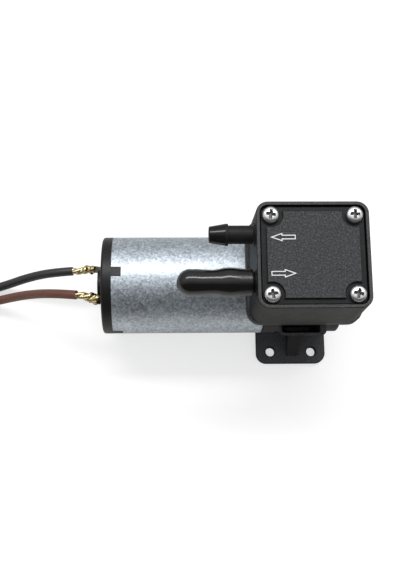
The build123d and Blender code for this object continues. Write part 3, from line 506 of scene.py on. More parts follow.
@dataclass(frozen=True)
class Pressed(Finish):
    """Sintered, pressed or cast non-metal, such as ferrite, carbon and natural nylon."""

    grain: float = 0.5 * MM
    relief: float = 0.01 * MM

    def sockets(self, graph: Graph) -> Sockets:
        """Coarse and fine grain together.

        Args:
            graph: the material's node tree.

        Returns:
            The shader's inputs, by name.
        """
        fine = graph.noise(self.grain, 4.0)
        clouds = graph.noise(4 * MM, 2.0)
        colour = graph.blend(fine * 0.6 + clouds * 0.4, self.tint(0.8), self.tint(1.2))
        rough = self.roughness + (fine - 0.5) * 0.15
        return {"Base Color": colour, "Roughness": rough, "Normal": graph.bump(fine, self.relief)}


class Skin(Enum):
    """The finishes of this pump, each of which makes one material."""

    # HOUSING, CRANKCASE and COVER paint their grained faces that look up paler, as painted light from
    # above
    HOUSING = MouldedPlastic(
        "housing_nylon", (0.0055, 0.0055, 0.0057), 0.58, speck=0.6, gloss=0.3, frost_and_top_light=4.9,
        frost_and_top_light_above=69.0 * MM, gloss_from_x=-28.6 * MM, gloss_roughness=0.15,
    )
    CRANKCASE = MouldedPlastic(
        "crankcase_nylon", (0.0115, 0.0118, 0.0128), 0.56, grain=0.42 * MM, mottle=0.3,
        gloss=0.3, frost_and_top_light=2.4, frost_and_top_light_above=0.5 * MM,
    )
    COVER = MouldedPlastic(
        "cover_nylon", (0.006, 0.0062, 0.0066), 0.5, gloss=0.22, frost_and_top_light=3.2, grain=0.46 * MM,
        relief=0.03 * MM, speck=0.9, frost_and_top_light_above=68.95 * MM,
    )
    END_CAP = MouldedPlastic("end_cap_nylon", (0.006, 0.006, 0.0064), 0.4)
    ROD = Pressed("rod_nylon", (0.70, 0.67, 0.58), 0.5)
    RUBBER = SmoothRubber("moulded_rubber", (0.03, 0.03, 0.03), 0.6)
    VINYL = DippedVinyl("dipped_vinyl", (0.0022, 0.0022, 0.0024), 0.16)
    BLACK_LEAD = SmoothRubber("black_insulation", (0.028, 0.028, 0.031), 0.34, along=(3, 1, 1))
    BROWN_LEAD = SmoothRubber("brown_insulation", (0.13, 0.05, 0.032), 0.45, along=(3, 1, 1))
    # painted shade: the screws' cross recesses are painted darker
    SCREW = BareMetal(
        "screw_nickel", (0.74, 0.74, 0.73), 0.27, tooth=0.5 * MM,
        recess_at=(13.88 * MM, 13.3 * MM, 70.22 * MM),
    )
    CAN = ZincSheet("can_zinc", (0.515, 0.565, 0.615), 0.5)
    STEEL = BareMetal("ground_steel", (0.6, 0.6, 0.61), 0.25, stretch=(12, 1, 1))
    ALLOY = BareMetal("cast_alloy", (0.66, 0.66, 0.67), 0.45, tooth=0.6 * MM, relief=0.02 * MM)
    LAMINATED = BareMetal("laminated_steel", (0.3, 0.3, 0.31), 0.45, stretch=(0.3, 3, 3))
    COPPER = BareMetal("enamelled_copper", (0.55, 0.2, 0.08), 0.3, tooth=0.4 * MM, relief=0.03 * MM)
    SEGMENTS = BareMetal("turned_copper", (0.7, 0.38, 0.22), 0.3, stretch=(0.2, 2, 2))
    BRONZE = BareMetal("sintered_bronze", (0.5, 0.36, 0.2), 0.55, relief=0.02 * MM)
    BRASS = BareMetal("terminal_brass", (0.3, 0.27, 0.2), 0.34)
    # painted shade: the soldered strands carry darker random patches for the shade between them
    SOLDER = BareMetal(
        "soldered_strands", (0.62, 0.51, 0.28), 0.27, tooth=0.5 * MM, relief=0.03 * MM,
        stain=(0.2, 0.12, 0.03), stain_share=0.7,
    )
    TINNED = BareMetal("tinned_copper", (0.72, 0.7, 0.66), 0.3)
    CARBON = Pressed("pressed_carbon", (0.04, 0.04, 0.042), 0.5)
    FERRITE = Pressed("sintered_ferrite", (0.06, 0.06, 0.065), 0.6)
    WHITE = Pressed("white_nylon", (0.8, 0.8, 0.77), 0.35)
    PRINT = Pressed("arrow_print", (0.76, 0.77, 0.78), 0.5, grain=0.2 * MM, relief=0.004 * MM)

    @cache
    def material(self) -> bpy.types.Material:
        """Gives the finish's material, made once."""
        return self.value.material()

    def dress(self, thing: Thing) -> None:
        """Puts this finish alone on the whole of a node or a piece."""
        thing.data.materials.clear()
        thing.data.materials.append(self.material())


def linked(name: str, data: bpy.types.ID) -> Thing:
    """Makes an object of some data and links it to the scene.

    Args:
        name: the object's name.
        data: its mesh, curve, camera or lamp.

    Returns:
        The object, at the origin.
    """
    made = bpy.data.objects.new(name, data)
    bpy.context.scene.collection.objects.link(made)
    return made


def piece_of(name: str, mesh: Shape) -> Thing:
    """Makes an object of a finished bmesh.

    Args:
        name: the piece's name.
        mesh: the bmesh, in metres, which is freed.

    Returns:
        The object, at the origin.
    """
    data = bpy.data.meshes.new(name)
    mesh.to_mesh(data)
    mesh.free()
    return linked(name, data)


def close_up(mesh: Shape) -> None:
    """Merges doubles and turns the faces outwards."""
    bmesh.ops.remove_doubles(mesh, verts=mesh.verts, dist=WELD)
    bmesh.ops.recalc_face_normals(mesh, faces=mesh.faces)


def shade_smooth(thing: Thing, angle: float) -> None:
    """Shades a piece smooth, apart from its sharp edges.

    Args:
        thing: the piece.
        angle: the angle in degrees from which an edge is sharp.
    """
    thing.data.shade_smooth()
    thing.data.set_sharp_from_angle(angle=math.radians(angle))


def spun(profile: Sequence[Pair], steps: int) -> Shape:
    """Spins a profile once round Z.

    Args:
        profile: (radius, height) points in millimetres, from pole to pole or all round.
        steps: the number of faces round the axis.

    Returns:
        A closed bmesh in metres.
    """
    mesh = bmesh.new()
    verts = [mesh.verts.new((r * MM, 0, z * MM)) for r, z in profile]
    edges = [mesh.edges.new(pair) for pair in zip(verts, verts[1:])]
    turn = {"cent": (0, 0, 0), "axis": (0, 0, 1), "dvec": (0, 0, 0), "angle": 2 * math.pi}
    bmesh.ops.spin(mesh, geom=verts + edges, steps=steps, use_merge=True, **turn)
    close_up(mesh)
    return mesh


def across(heading: Vector, degrees: float) -> Vector:
    """Gives a direction square to a heading, at an angle round it from the level one.

    Args:
        heading: the heading, of length 1.
        degrees: the angle round it.

    Returns:
        The direction, of length 1.
    """
    side = heading.cross(Vector((0, 0, 1))).normalized()
    angle = math.radians(degrees)
    return side * math.cos(angle) + side.cross(heading) * math.sin(angle)


def follow(name: str, points: Sequence[Vector], radius: float) -> Thing:
    """Makes a round curve on a smooth line.

    Args:
        name: the curve's name.
        points: control points of its line, in metres.
        radius: the curve's radius, or 0 for the bare line.

    Returns:
        The curve's object.
    """
    data = bpy.data.curves.new(name, "CURVE")
    data.dimensions = "3D"
    spline = data.splines.new("NURBS")
    spline.points.add(len(points) - 1)
    for control, place in zip(spline.points, points):
        control.co = (*place, 1.0)
    spline.order_u = 3
    spline.use_endpoint_u = True
    spline.resolution_u = 12
    data.bevel_depth = radius
    data.bevel_resolution = 6
    data.use_fill_caps = True
    return linked(name, data)


def line_of(points: Sequence[Vector]) -> list[Vector]:
    """Gives close points along a smooth line.

    Args:
        points: the line's control points, in metres.

    Returns:
        The points, in order.
    """
    bare = follow("line_only", points, 0.0)
    mesh = bpy.data.meshes.new_from_object(bare)
    line = [v.co.copy() for v in mesh.vertices]
    bpy.data.objects.remove(bare)
    bpy.data.meshes.remove(mesh)
    return line


@dataclass
class Camera:
    """The photograph's camera, as worked out from the motor's can, the head and the foot."""

    place: Point = (-46.09, -72.19, 351.92)
    right: Point = (0.9995, -0.0108, 0.0287)
    forward: Point = (0.0303, 0.2141, -0.9763)
    focal_pixels: float = 900.0
    sensor: float = 36.0

    def build(self) -> None:
        """Makes the camera and gives it to the scene."""
        data = bpy.data.cameras.new("photo_camera")
        data.sensor_width = self.sensor
        data.lens = self.focal_pixels / PICTURE_LONG_SIDE * self.sensor
        data.clip_start = 10 * MM
        back = -Vector(self.forward).normalized()
        up = back.cross(Vector(self.right)).normalized()
        right = up.cross(back)
        turn = Matrix((right, up, back)).transposed().to_4x4()
        made = linked("photo_camera", data)
        made.matrix_world = Matrix.Translation(Vector(self.place) * MM) @ turn
        bpy.context.scene.camera = made
        log.info("camera: lens %.2f mm", data.lens)


@dataclass
class Studio:
    """A pale table under one long lamp, with a soft fill from all round.

    The fades are spans of a direction or a place over which a light or a tone goes from one end of
    its range to the other.
    """

    table_size: float = 6.0
    table_colour: Colour = (0.62, 0.62, 0.62)
    bounce_colour: Colour = (0.5, 0.5, 0.5)
    mirrored_colour: Colour = (0.88, 0.87, 0.84)
    far_colour: Colour = (0.45, 0.46, 0.47)
    strip_size: Pair = (900 * MM, 120 * MM)
    strip_distance: float = 700 * MM
    strip_tilt: float = 29.0
    strip_power: float = 3.3
    fill_strength: float = 0.9
    even_strength: float = 0.58
    aim: Point = (-20.0, 0.0, 30.0)
    glow: float = 0.56
    table_fade: Pair = (-40 * MM, 160 * MM)
    front_fade: Pair = (-0.46, 0.1)
    height_fade: Pair = (-0.1, 0.75)
    overhead_light: float = 0.62
    level_light: float = 0.28
    least_light: float = 0.13
    fill_colour: Colour = (0.98, 0.99, 1.0)

    def build(self) -> None:
        """Makes the table, the lamp and the world."""
        self._table()
        self._strip()
        self._world()

    def _table(self) -> None:
        """Lays the table, which the camera sees with a glow, as white as the picture's ground."""
        mesh = bmesh.new()
        bmesh.ops.create_grid(mesh, x_segments=1, y_segments=1, size=self.table_size / 2)
        table = piece_of("table", mesh)
        material = bpy.data.materials.new("table_white")
        graph = Graph(material)
        tone = graph.noise(400 * MM, 1.0)
        colour = graph.blend(tone, tuple(0.99 * c for c in self.table_colour), self.table_colour)
        far = graph.axis("Y").ramp(*self.table_fade)
        reflected = graph.blend(far, self.mirrored_colour, self.far_colour)
        colours = ((*self.bounce_colour, 1.0), reflected, colour)
        dull, bright, matt = (graph.node("BsdfDiffuse", inputs={"Color": c}) for c in colours)
        glow = graph.node("Emission", inputs={"Color": (1, 1, 1, 1), "Strength": self.glow})
        both = graph.node("AddShader", inputs={0: matt, 1: glow})
        mixed = graph.seen_by("Is Camera Ray", both, graph.seen_by("Is Glossy Ray", bright, dull))
        graph.node("OutputMaterial", inputs={"Surface": mixed})
        table.data.materials.append(material)
        table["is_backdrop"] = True

    def _strip(self) -> None:
        """Hangs the long lamp that draws the thin highlights along the barbs and the can."""
        data = bpy.data.lights.new("strip_lamp", "AREA")
        data.shape = "RECTANGLE"
        data.size = self.strip_size[0]
        data.size_y = self.strip_size[1]
        data.energy = self.strip_power
        lamp = linked("strip_lamp", data)
        tilt = math.radians(self.strip_tilt)
        away = Vector((0, math.sin(tilt), math.cos(tilt)))
        lamp.location = Vector(self.aim) * MM + away * self.strip_distance
        lamp.rotation_mode = "QUATERNION"
        lamp.rotation_quaternion = away.to_track_quat("Z", "Y")

    def _world(self) -> None:
        """Fills from all round: bright overhead, dimmer towards the horizon, white to the camera."""
        world = bpy.data.worlds.new("studio_world")
        bpy.context.scene.world = world
        graph = Graph(world)
        plain = (1, 1, 1, 1)
        way = graph.node("TexCoord", output="Generated")
        overhead = graph.part(way, "Z").ramp(*self.height_fade) * self.overhead_light
        level = graph.part(way, "Y").ramp(*self.front_fade) * (overhead + self.level_light)
        shade = graph.blend((level + self.least_light).clamped(), (0.0, 0.0, 0.0), self.fill_colour)
        lights = []
        strengths = ((shade, self.fill_strength), (plain, self.even_strength), (plain, 1.0))
        for colour, strength in strengths:
            inputs = {"Color": colour, "Strength": strength}
            lights.append(graph.node("Background", inputs=inputs))
        fill, even, white = lights
        mixed = graph.seen_by("Is Camera Ray", white, graph.seen_by("Is Glossy Ray", fill, even))
        graph.node("OutputWorld", inputs={"Surface": mixed})


@dataclass
class Lead:
    """One stripped lead: its insulation along the route, and the tinned strands at its far end."""

    name: str
    skin: Skin
    slot: str
    route: list[Point]
    loop_middle: Pair
    way: int
    length: float
    diameter: float = 3.4
    loop_radius: float = 20.0
    loop_step: float = 36.0
    loop_corners: int = 8
    loop_start: float = 95.0
    rest_height: float = 1.75
    tip_length: float = 6.0
    strand_count: int = 7
    strand_diameter: float = 0.5
    strand_steps: int = 8
    strand_twist: float = 200.0
    cut_step: float = 0.25

    def points(self) -> list[Vector]:
        """Gives the whole route: the part that shows, then the loop where the rest lies.

        Returns:
            The route's points, in metres.
        """
        loop = []
        for step in range(self.loop_corners):
            angle = math.radians(-self.way * (self.loop_start + step * self.loop_step))
            x = self.loop_middle[0] + self.loop_radius * math.cos(angle)
            y = self.loop_middle[1] + self.loop_radius * math.sin(angle)
            loop.append((x, y, self.rest_height))
        return in_metres(self.route + loop)

    def strands(self, end: Vector, heading: Vector) -> Thing:
        """Makes the bare tip: strands laid round a middle one, cut at slightly different lengths.

        Args:
            end: where the insulation ends, in metres.
            heading: which way it points there.

        Returns:
            The tip as one piece.
        """
        pieces = []
        for index in range(self.strand_count):
            reach = self.strand_diameter if index else 0.0
            long = self.tip_length - self.cut_step * (index % 3)
            start = 360 / (self.strand_count - 1) * index
            line = []
            for step in range(self.strand_steps + 1):
                share = step / self.strand_steps
                off = across(heading, start + self.strand_twist * share) * reach
                line.append(end + (heading * (long * share) + off) * MM)
            pieces.append(follow(f"{self.name}_strand_{index}", line, self.strand_diameter / 2 * MM))
        return fused(f"{self.name}_tip_strands", pieces)

    def build(self) -> None:
        """Lays the lead and makes its tip."""
        points = self.points()
        cord = follow(f"{self.name}_insulation", points, self.diameter / 2 * MM)
        self.skin.dress(cord)
        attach(cord, "root")
        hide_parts(self.name)
        tip = self.strands(points[-1], (points[-1] - points[-2]).normalized())
        Skin.TINNED.dress(tip)
        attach(tip, "root")
        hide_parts(f"{self.name}_tip")
        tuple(points[0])
        log.info("cord %s: %d control points", self.name, len(points))


def fused(name: str, curves: Sequence[Thing]) -> Thing:
    """Turns round curves into one mesh piece.

    Args:
        name: the piece's name.
        curves: the curve objects, which are removed.

    Returns:
        The mesh object, at the origin.
    """
    mesh = bmesh.new()
    for curve in curves:
        data = bpy.data.meshes.new_from_object(curve)
        mesh.from_mesh(data)
        bpy.data.objects.remove(curve)
        bpy.data.meshes.remove(data)
    close_up(mesh)
    made = piece_of(name, mesh)
    shade_smooth(made, 60)
    return made


def prism(corners: Sequence[Pair], low: float, high: float, narrowing: float) -> Shape:
    """Extrudes a flat outline between two heights, tapered.

    Args:
        corners: the outline's corners in order, in millimetres.
        low: the height of its foot, in millimetres.
        high: the height of its top.
        narrowing: the foot's size as a share of the top's.

    Returns:
        A closed bmesh in metres.
    """
    mesh = bmesh.new()
    ring = [mesh.verts.new((x * MM, y * MM, high * MM)) for x, y in corners]
    top = mesh.faces.new(ring)
    grown = bmesh.ops.extrude_face_region(mesh, geom=[top], use_keep_orig=True)
    foot = [v for v in grown["geom"] if isinstance(v, bmesh.types.BMVert)]
    bmesh.ops.translate(mesh, verts=foot, vec=(0, 0, (low - high) * MM))
    bmesh.ops.scale(mesh, verts=foot, vec=(narrowing, narrowing, 1))
    close_up(mesh)
    return mesh


def carved(thing: Thing, cutters: Sequence[Shape]) -> None:
    """Cuts closed shapes out of a piece and leaves plain mesh.

    Args:
        thing: the piece, in metres.
        cutters: closed bmeshes in the same axes, which are freed.
    """
    for cutter in cutters:
        tool = piece_of("cutter", cutter)
        cut = thing.modifiers.new("cut", "BOOLEAN")
        cut.operation = "DIFFERENCE"
        cut.solver = "EXACT"
        cut.object = tool
        settle(thing)
        bpy.data.objects.remove(tool)


def settle(thing: Thing) -> None:
    """Replaces a piece's mesh by what its modifiers make of it, and removes them.

    Args:
        thing: the piece.
    """
    bpy.context.view_layer.update()
    shaped = thing.evaluated_get(bpy.context.evaluated_depsgraph_get())
    data = bpy.data.meshes.new_from_object(shaped)
    data.name = thing.data.name
    thing.modifiers.clear()
    thing.data = data


@dataclass
class CoverScrews:
    """Four pan-head screws with a tapered cross recess, each stopped at its own angle.

    The crown's pairs are shares of the head's radius and drops from its top. The foot's bevel and the
    point's are a width and a height.
    """

    spacing: Pair = (27.76, 26.6)
    seat: float = 68.1
    head_radius: float = 2.95
    head_height: float = 2.25
    shank_radius: float = 1.5
    length: float = 27.7
    crown: tuple[Pair, ...] = (
        (0.0, 0.0), (0.4, 0.02), (0.6, 0.09), (0.73, 0.22), (0.85, 0.48), (0.94, 0.86), (0.99, 1.3)
    )
    side_height: float = 0.5
    foot_bevel: Pair = (0.12, 0.14)
    point: Pair = (0.6, 0.8)
    recess_span: float = 3.6
    recess_width: float = 1.15
    recess_depth: float = 1.9
    recess_taper: float = 0.62
    recess_middle: float = 0.78
    recess_above: float = 0.3
    steps: int = 64
    turns: tuple[float, ...] = (-10.0, -4.0, 8.0, -13.0)

    def profile(self) -> list[Pair]:
        """Gives the half-section, from the crown's pole down to the point's pole.

        Returns:
            The (radius, height) points, in millimetres.
        """
        head, shank, end = self.head_radius, self.shank_radius, -self.length
        crown = [(share * head, self.head_height - drop) for share, drop in self.crown]
        side = [(head, self.side_height), (head, self.foot_bevel[1]), (head - self.foot_bevel[0], 0)]
        point = [(shank, 0), (shank, self.point[1] + end), (shank - self.point[0], end), (0, end)]
        return crown + side + point

    def cross(self) -> list[Shape]:
        """Gives the recess as two crossed prisms and a middle.

        Returns:
            The three closed shapes, in metres.
        """
        span, half = self.recess_span / 2, self.recess_width / 2
        low = self.head_height - self.recess_depth
        high = self.head_height + self.recess_above
        bar = [(-span, -half), (span, -half), (span, half), (-span, half)]
        upright = [(-y, x) for x, y in bar]
        angles = [math.radians(a) for a in range(15, 375, 30)]
        middle = [(self.recess_middle * math.cos(a), self.recess_middle * math.sin(a)) for a in angles]
        return [prism(c, low, high, self.recess_taper) for c in (bar, upright, middle)]

    def build(self) -> None:
        """Turns one screw, cuts its recess and sets four of them in one piece."""
        screw = piece_of("screw_pattern", spun(self.profile(), self.steps))
        carved(screw, self.cross())
        mesh = bmesh.new()
        places = [(x, y) for y in (1, -1) for x in (-1, 1)]
        for (x, y), turn in zip(places, self.turns):
            before = set(mesh.verts)
            mesh.from_mesh(screw.data)
            new = [v for v in mesh.verts if v not in before]
            bmesh.ops.rotate(mesh, verts=new, matrix=Matrix.Rotation(math.radians(turn), 3, "Z"))
            place = Vector((x * self.spacing[0] / 2, y * self.spacing[1] / 2, self.seat)) * MM
            bmesh.ops.translate(mesh, verts=new, vec=place)
        bpy.data.objects.remove(screw)
        close_up(mesh)
        made = piece_of("turned_cover_screws", mesh)
        shade_smooth(made, 32)
        Skin.SCREW.dress(made)
        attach(made, "root")
        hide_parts("cover_screws")
        log.info("screws: %d", len(places))


@dataclass
class FlowArrows:
    """Two outlined arrows on the cover: out towards the open barb and in from the capped one."""

    surface: float = 69.05
    proud: float = 0.05
    sunk: float = 0.03
    stroke: float = 0.31
    length: float = 8.35
    head_length: float = 4.0
    head_half: float = 1.45
    shaft_half: float = 0.78
    corner_radius: float = 0.1
    steepness: float = 0.9
    places: tuple[tuple[float, float, int], ...] = ((-10.02, 5.75, -1), (-9.95, -6.4, 1))

    def outline(self, middle: float, y: float, way: int) -> list[Pair]:
        """Gives an arrow's seven corners.

        Args:
            middle: where the arrow's middle lies along X, in millimetres.
            y: where it lies along Y.
            way: 1 for an arrow that points along +X and -1 for the other.

        Returns:
            The corners in order, in millimetres.
        """
        tip, neck, tail = self.length / 2, self.length / 2 - self.head_length, -self.length / 2
        upper = [(neck, self.head_half), (neck, self.shaft_half), (tail, self.shaft_half)]
        corners = [(tip, 0)] + upper + [(x, -v) for x, v in reversed(upper)]
        return [(middle + way * x, y + way * v) for x, v in corners]

    def build(self) -> None:
        """Insets each outline to one stroke, raises it a little and softens its corners."""
        mesh = bmesh.new()
        for middle, y, way in self.places:
            low = (self.surface - self.sunk) * MM
            ring = [mesh.verts.new((x * MM, v * MM, low)) for x, v in self.outline(middle, y, way)]
            face = mesh.faces.new(ring)
            face.normal_update()
            bmesh.ops.inset_region(
                mesh, faces=[face], thickness=self.stroke * MM, use_even_offset=True, use_boundary=True
            )
            bmesh.ops.delete(mesh, geom=[face], context="FACES_ONLY")
        mesh.normal_update()
        bmesh.ops.solidify(mesh, geom=mesh.faces[:], thickness=(self.sunk + self.proud) * MM)
        close_up(mesh)
        spans = {e: (e.verts[0].co - e.verts[1].co).normalized() for e in mesh.edges}
        upright = [e for e, span in spans.items() if abs(span.z) > self.steepness]
        bmesh.ops.bevel(
            mesh,
            geom=upright,
            offset=self.corner_radius * MM,
            segments=3,
            profile=0.5,
            material=-1,
            offset_type="OFFSET",
            affect="EDGES",
            clamp_overlap=True,
        )
        level = (self.surface - self.sunk) * MM - min(v.co.z for v in mesh.verts)
        bmesh.ops.translate(mesh, verts=mesh.verts, vec=(0, 0, level))
        close_up(mesh)
        made = piece_of("flow_arrows", mesh)
        Skin.PRINT.dress(made)
        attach(made, "root")
        log.info("arrows: %d faces", len(made.data.polygons))


@dataclass
class TransportCap:
    """The soft cap over the inlet barb: it swells over the collar and draws in behind it."""

    root: Point = (-18.7, -8.1, 63.5)
    bore: float = 3.76
    steps: int = 96
    ring_gap: float = 0.35
    unevenness: float = 0.07
    wave: float = 4.5
    wave_place: Point = (3.1, 0.4, 7.7)
    ripple: float = 1.7
    ripple_share: float = 0.3
    thinnest: float = 0.3
    skin: tuple[Pair, ...] = (
        (1.3, 4.42), (3.2, 4.44), (5.0, 4.55), (6.8, 4.82), (8.6, 4.97), (10.4, 4.84),
        (12.4, 4.44), (14.8, 4.22), (17.2, 4.33), (19.6, 4.47), (21.6, 4.5),
    )
    dome_start: float = 21.6
    dome_length: float = 4.6
    dome_steps: int = 15
    hollow: tuple[Pair, ...] = ((0.0, 24.6), (2.2, 24.1), (3.76, 21.0))
    lip: Pair = (0.12, 0.16)
    lip_round: float = 0.2

    def outside(self, along: float) -> float:
        """Gives the outer radius, smooth between the stations of the skin.

        Args:
            along: the distance from the head's wall, in millimetres.

        Returns:
            The radius, in millimetres.
        """
        stations = self.skin
        for index in range(len(stations) - 1):
            (a, ra), (b, rb) = stations[index], stations[index + 1]
            if along <= b:
                share = (along - a) / (b - a)
                before = stations[max(index - 1, 0)]
                after = stations[min(index + 2, len(stations) - 1)]
                slope_a = (rb - before[1]) / (b - before[0])
                slope_b = (after[1] - ra) / (after[0] - a)
                h = b - a
                return (
                    ra * (1 + 2 * share) * (1 - share) ** 2
                    + slope_a * h * share * (1 - share) ** 2
                    + rb * share**2 * (3 - 2 * share)
                    + slope_b * h * share**2 * (share - 1)
                )
        return stations[-1][1]

    def profile(self) -> list[Pair]:
        """Gives the half-section, from the pole inside the dome out to the pole outside it.

        Returns:
            The (radius, height) points, in millimetres.
        """
        mouth, rim = self.skin[0]
        inner = list(self.hollow)
        lip = [
            (self.bore, mouth),
            (self.bore + self.lip[0], mouth - self.lip[1]),
            (rim - self.lip_round, mouth - self.lip_round),
        ]
        count = int((self.dome_start - mouth) / self.ring_gap)
        stations = [mouth + (self.dome_start - mouth) * step / count for step in range(count + 1)]
        wall = [(self.outside(along), along) for along in stations]
        radius = self.skin[-1][1]
        dome = []
        for step in range(1, self.dome_steps):
            angle = math.radians(90 * step / self.dome_steps)
            rise = self.dome_length * math.sin(angle)
            dome.append((radius * math.cos(angle), self.dome_start + rise))
        dome.append((0, self.dome_start + self.dome_length))
        return inner + lip + wall + dome

    def build(self) -> None:
        """Spins the cap, lays it along the barb and makes its skin a little uneven."""
        mesh = spun(self.profile(), self.steps)
        for vert in mesh.verts:
            out = Vector((vert.co.x, vert.co.y, 0))
            if out.length > (self.bore + self.thinnest) * MM:
                wave = noise.noise(vert.co / (self.wave * MM) + Vector(self.wave_place))
                ripple = noise.noise(vert.co / (self.ripple * MM))
                shift = (wave + self.ripple_share * ripple) * self.unevenness * MM
                vert.co += out.normalized() * shift
        turn = Matrix.Rotation(math.radians(-90), 3, "Y")
        bmesh.ops.rotate(mesh, verts=mesh.verts, matrix=turn)
        bmesh.ops.translate(mesh, verts=mesh.verts, vec=Vector(self.root) * MM)
        close_up(mesh)
        made = piece_of("soft_transport_cap", mesh)
        shade_smooth(made, 50)
        Skin.VINYL.dress(made)
        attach(made, "transport_cap")
        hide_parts("inlet_cap")
        log.info("cap: %d faces", len(made.data.polygons))


@dataclass
class BentTerminals:
    """The two terminal tabs; the black lead's own is pulled outwards by its wire."""

    bend_from_x: float = -72.0
    tip_x: float = -76.8
    pull: Point = (0.0, 1.35, 0.1)

    def build(self) -> None:
        """Leans the black lead's tab over, more towards its tip, in a copy of both."""
        mesh = bmesh.new()
        mesh.from_mesh(bpy.data.objects["terminals"].data)
        close_up(mesh)
        reach = (self.bend_from_x - self.tip_x) * MM
        for vert in mesh.verts:
            share = (self.bend_from_x * MM - vert.co.x) / reach
            if share > 0 and vert.co.y > 0:
                vert.co += Vector(self.pull) * (share * MM)
        made = piece_of("bent_terminals", mesh)
        Skin.BRASS.dress(made)
        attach(made, "root")
        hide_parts("terminals")
        log.info("terminals: %d faces", len(made.data.polygons))


@dataclass
class SolderedEnd:
    """A stripped conductor: thick bundles of strands twisted together and soldered round the tab."""

    name: str
    line: list[Point]
    spread: Pair
    thickness: Pair
    turns: float
    start_angle: float
    wrap_at: Pair = (0.58, 0.9)
    wrap_turns: float = 0.8
    wrap_lead: float = 40.0
    wrap_radius: float = 1.15
    bundles: int = 3
    stations: int = 22
    spread_change: float = 0.16
    thickness_change: float = 0.22
    spread_waves: float = 5.0
    thickness_waves: float = 7.0

    def build(self) -> list[Thing]:
        """Makes the twisted bundles and the wrap as round curves of changing thickness.

        Returns:
            The curves.
        """
        centre = line_of(in_metres(self.line))
        whole = (0.0, 1.0)
        rows = [(str(i), whole, 360 * i / self.bundles, self.turns, None) for i in range(self.bundles)]
        rows.append(("wrap", self.wrap_at, self.wrap_lead, self.wrap_turns, self.wrap_radius))
        return [self._strand(centre, *row) for row in rows]

    def _strand(
        self, centre: list[Vector], label: str, span: Pair, lead: float, turns: float, reach: float | None
    ) -> Thing:
        """Makes one bundle that winds round the centre line.

        Args:
            centre: points along the conductor.
            label: the last part of the curve's name.
            span: where along it the bundle starts and ends, as shares.
            lead: where round it the bundle starts, in degrees past the first one.
            turns: how many times it goes round.
            reach: its distance from the centre in millimetres, or None for the bundle's own spread.

        Returns:
            The curve.
        """
        angle = self.start_angle + lead
        points, widths = [], []
        for step in range(self.stations):
            share = step / (self.stations - 1)
            along = span[0] + (span[1] - span[0]) * share
            place = along * (len(centre) - 1)
            index = min(int(place), len(centre) - 2)
            here = centre[index].lerp(centre[index + 1], place - index)
            heading = (centre[index + 1] - centre[index]).normalized()
            wobble = noise.noise(Vector((along * self.spread_waves, angle, turns)))
            out = self.spread[0] + (self.spread[1] - self.spread[0]) * along if reach is None else reach
            out *= 1 + self.spread_change * wobble
            points.append(here + across(heading, angle + 360 * turns * share) * (out * MM))
            thick = self.thickness[0] + (self.thickness[1] - self.thickness[0]) * along
            wobble = noise.noise(Vector((along * self.thickness_waves, angle * 2, 1.5)))
            widths.append(thick * (1 + self.thickness_change * wobble))
        curve = follow(f"{self.name}_{label}", points, MM)
        for point, width in zip(curve.data.splines[0].points, widths):
            point.radius = width
        return curve


@dataclass
class SolderedEnds:
    """The soldered conductors of both leads."""

    ends: Sequence[SolderedEnd]
    voxel: float = 0.13
    smoothing: int = 11

    def build(self) -> None:
        """Melts each end's bundles together and dresses both as one piece."""
        curves = [curve for end in self.ends for curve in end.build()]
        made = fused("soldered_conductors", curves)
        melt = made.modifiers.new("melt", "REMESH")
        melt.mode = "VOXEL"
        melt.voxel_size = self.voxel * MM
        settle(made)
        mesh = bmesh.new()
        mesh.from_mesh(made.data)
        for _ in range(self.smoothing):
            bmesh.ops.smooth_vert(
                mesh, verts=mesh.verts, factor=0.5, use_axis_x=True, use_axis_y=True, use_axis_z=True
            )
        close_up(mesh)
        mesh.to_mesh(made.data)
        mesh.free()
        made.data.shade_smooth()
        Skin.SOLDER.dress(made)
        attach(made, "root")
        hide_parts("lead_ends")
        log.info("soldered ends: %d faces", len(made.data.polygons))


NODES_OF_SKIN = {
    Skin.CRANKCASE: ("crankcase", "crank_cover"),
    Skin.HOUSING: ("head_body",),
    Skin.COVER: ("cover_plate",),
    Skin.END_CAP: ("motor_end_cap",),
    Skin.ROD: ("connecting_rod",),
    Skin.RUBBER: ("cover_gasket", "outlet_valve_disc", "inlet_valve_disc", "diaphragm"),
    Skin.WHITE: ("valve_retainers", "bearing_cage", "thrust_washers"),
    Skin.SCREW: ("clamp_screw", "motor_screws"),
    Skin.STEEL: ("bearing_inner_race", "bearing_outer_race", "bearing_balls")
    + ("clamp_washer", "grub_screw", "motor_shaft"),
    Skin.ALLOY: ("eccentric",),
    Skin.LAMINATED: ("armature_core",),
    Skin.COPPER: ("armature_winding",),
    Skin.SEGMENTS: ("commutator",),
    Skin.CAN: ("motor_can",),
    Skin.FERRITE: ("magnets",),
    Skin.BRONZE: ("front_bush", "rear_bush"),
    Skin.CARBON: ("brushes",),
    Skin.BRASS: ("brush_arms",),
}

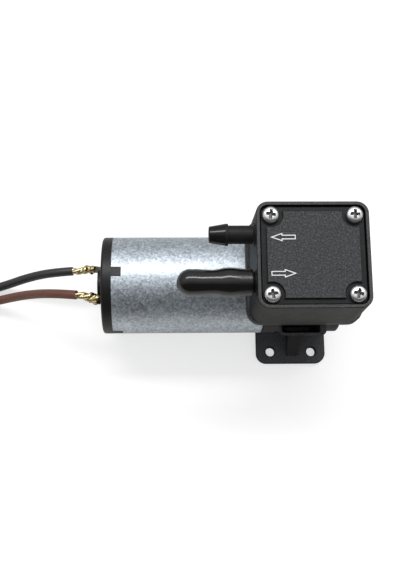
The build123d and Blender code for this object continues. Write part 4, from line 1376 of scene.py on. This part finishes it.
LEADS = (
    Lead(
        name="black_lead",
        skin=Skin.BLACK_LEAD,
        slot="black_insulation",
        route=[
            (-84.1, 6.95, 16.5), (-92.5, 6.7, 15.4), (-102.5, 6.0, 9.6),
            (-112.5, 4.1, 3.6), (-123.5, 1.6, 1.75),
        ],
        loop_middle=(-139.0, 21.7),
        way=1,
        length=144.4,
    ),
    Lead(
        name="brown_lead",
        skin=Skin.BROWN_LEAD,
        slot="brown_insulation",
        route=[
            (-81.3, -4.8, 28.5), (-89.8, -3.6, 26.0), (-100.0, -1.95, 16.6),
            (-110.5, -1.75, 7.6), (-122.0, -3.2, 1.75),
        ],
        loop_middle=(-138.0, -22.6),
        way=-1,
        length=151.2,
    ),
)

CONDUCTORS = (
    SolderedEnd(
        name="black_end",
        line=[
            (-84.9, 6.95, 16.6), (-82.6, 6.75, 16.7), (-80.1, 7.0, 16.95),
            (-77.7, 7.5, 17.1), (-75.8, 7.6, 17.1),
        ],
        spread=(0.55, 0.66),
        thickness=(0.72, 0.88),
        turns=0.9,
        start_angle=20.0,
    ),
    SolderedEnd(
        name="brown_end",
        line=[
            (-82.1, -4.9, 28.6), (-80.0, -4.9, 28.5), (-77.0, -5.6, 28.3),
            (-74.4, -6.2, 28.1), (-72.6, -6.4, 28.0),
        ],
        spread=(0.52, 1.0),
        thickness=(0.7, 1.05),
        turns=0.8,
        start_angle=80.0,
        wrap_radius=1.3,
    ),
)


def main() -> None:
    """Builds the camera and the studio first, then dresses the nodes and adds the pieces."""
    logging.basicConfig(level=logging.INFO, format="%(message)s")
    packed_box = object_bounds()
    bpy.context.scene.view_settings.view_transform = "Standard"
    Camera().build()
    Studio().build()
    for skin, nodes in NODES_OF_SKIN.items():
        for node in nodes:
            skin.dress(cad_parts[node])
            log.info("node %s: %s", node, skin.value.name)
    others = (CoverScrews(), FlowArrows(), TransportCap(), BentTerminals(), SolderedEnds(CONDUCTORS))
    for part in LEADS + others:
        part.build()
    boxes = {"packed": packed_box, "dressed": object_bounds()}
    {name: [list(corner) for corner in box] for name, box in boxes.items()}


if __name__ == "__main__":
    main()
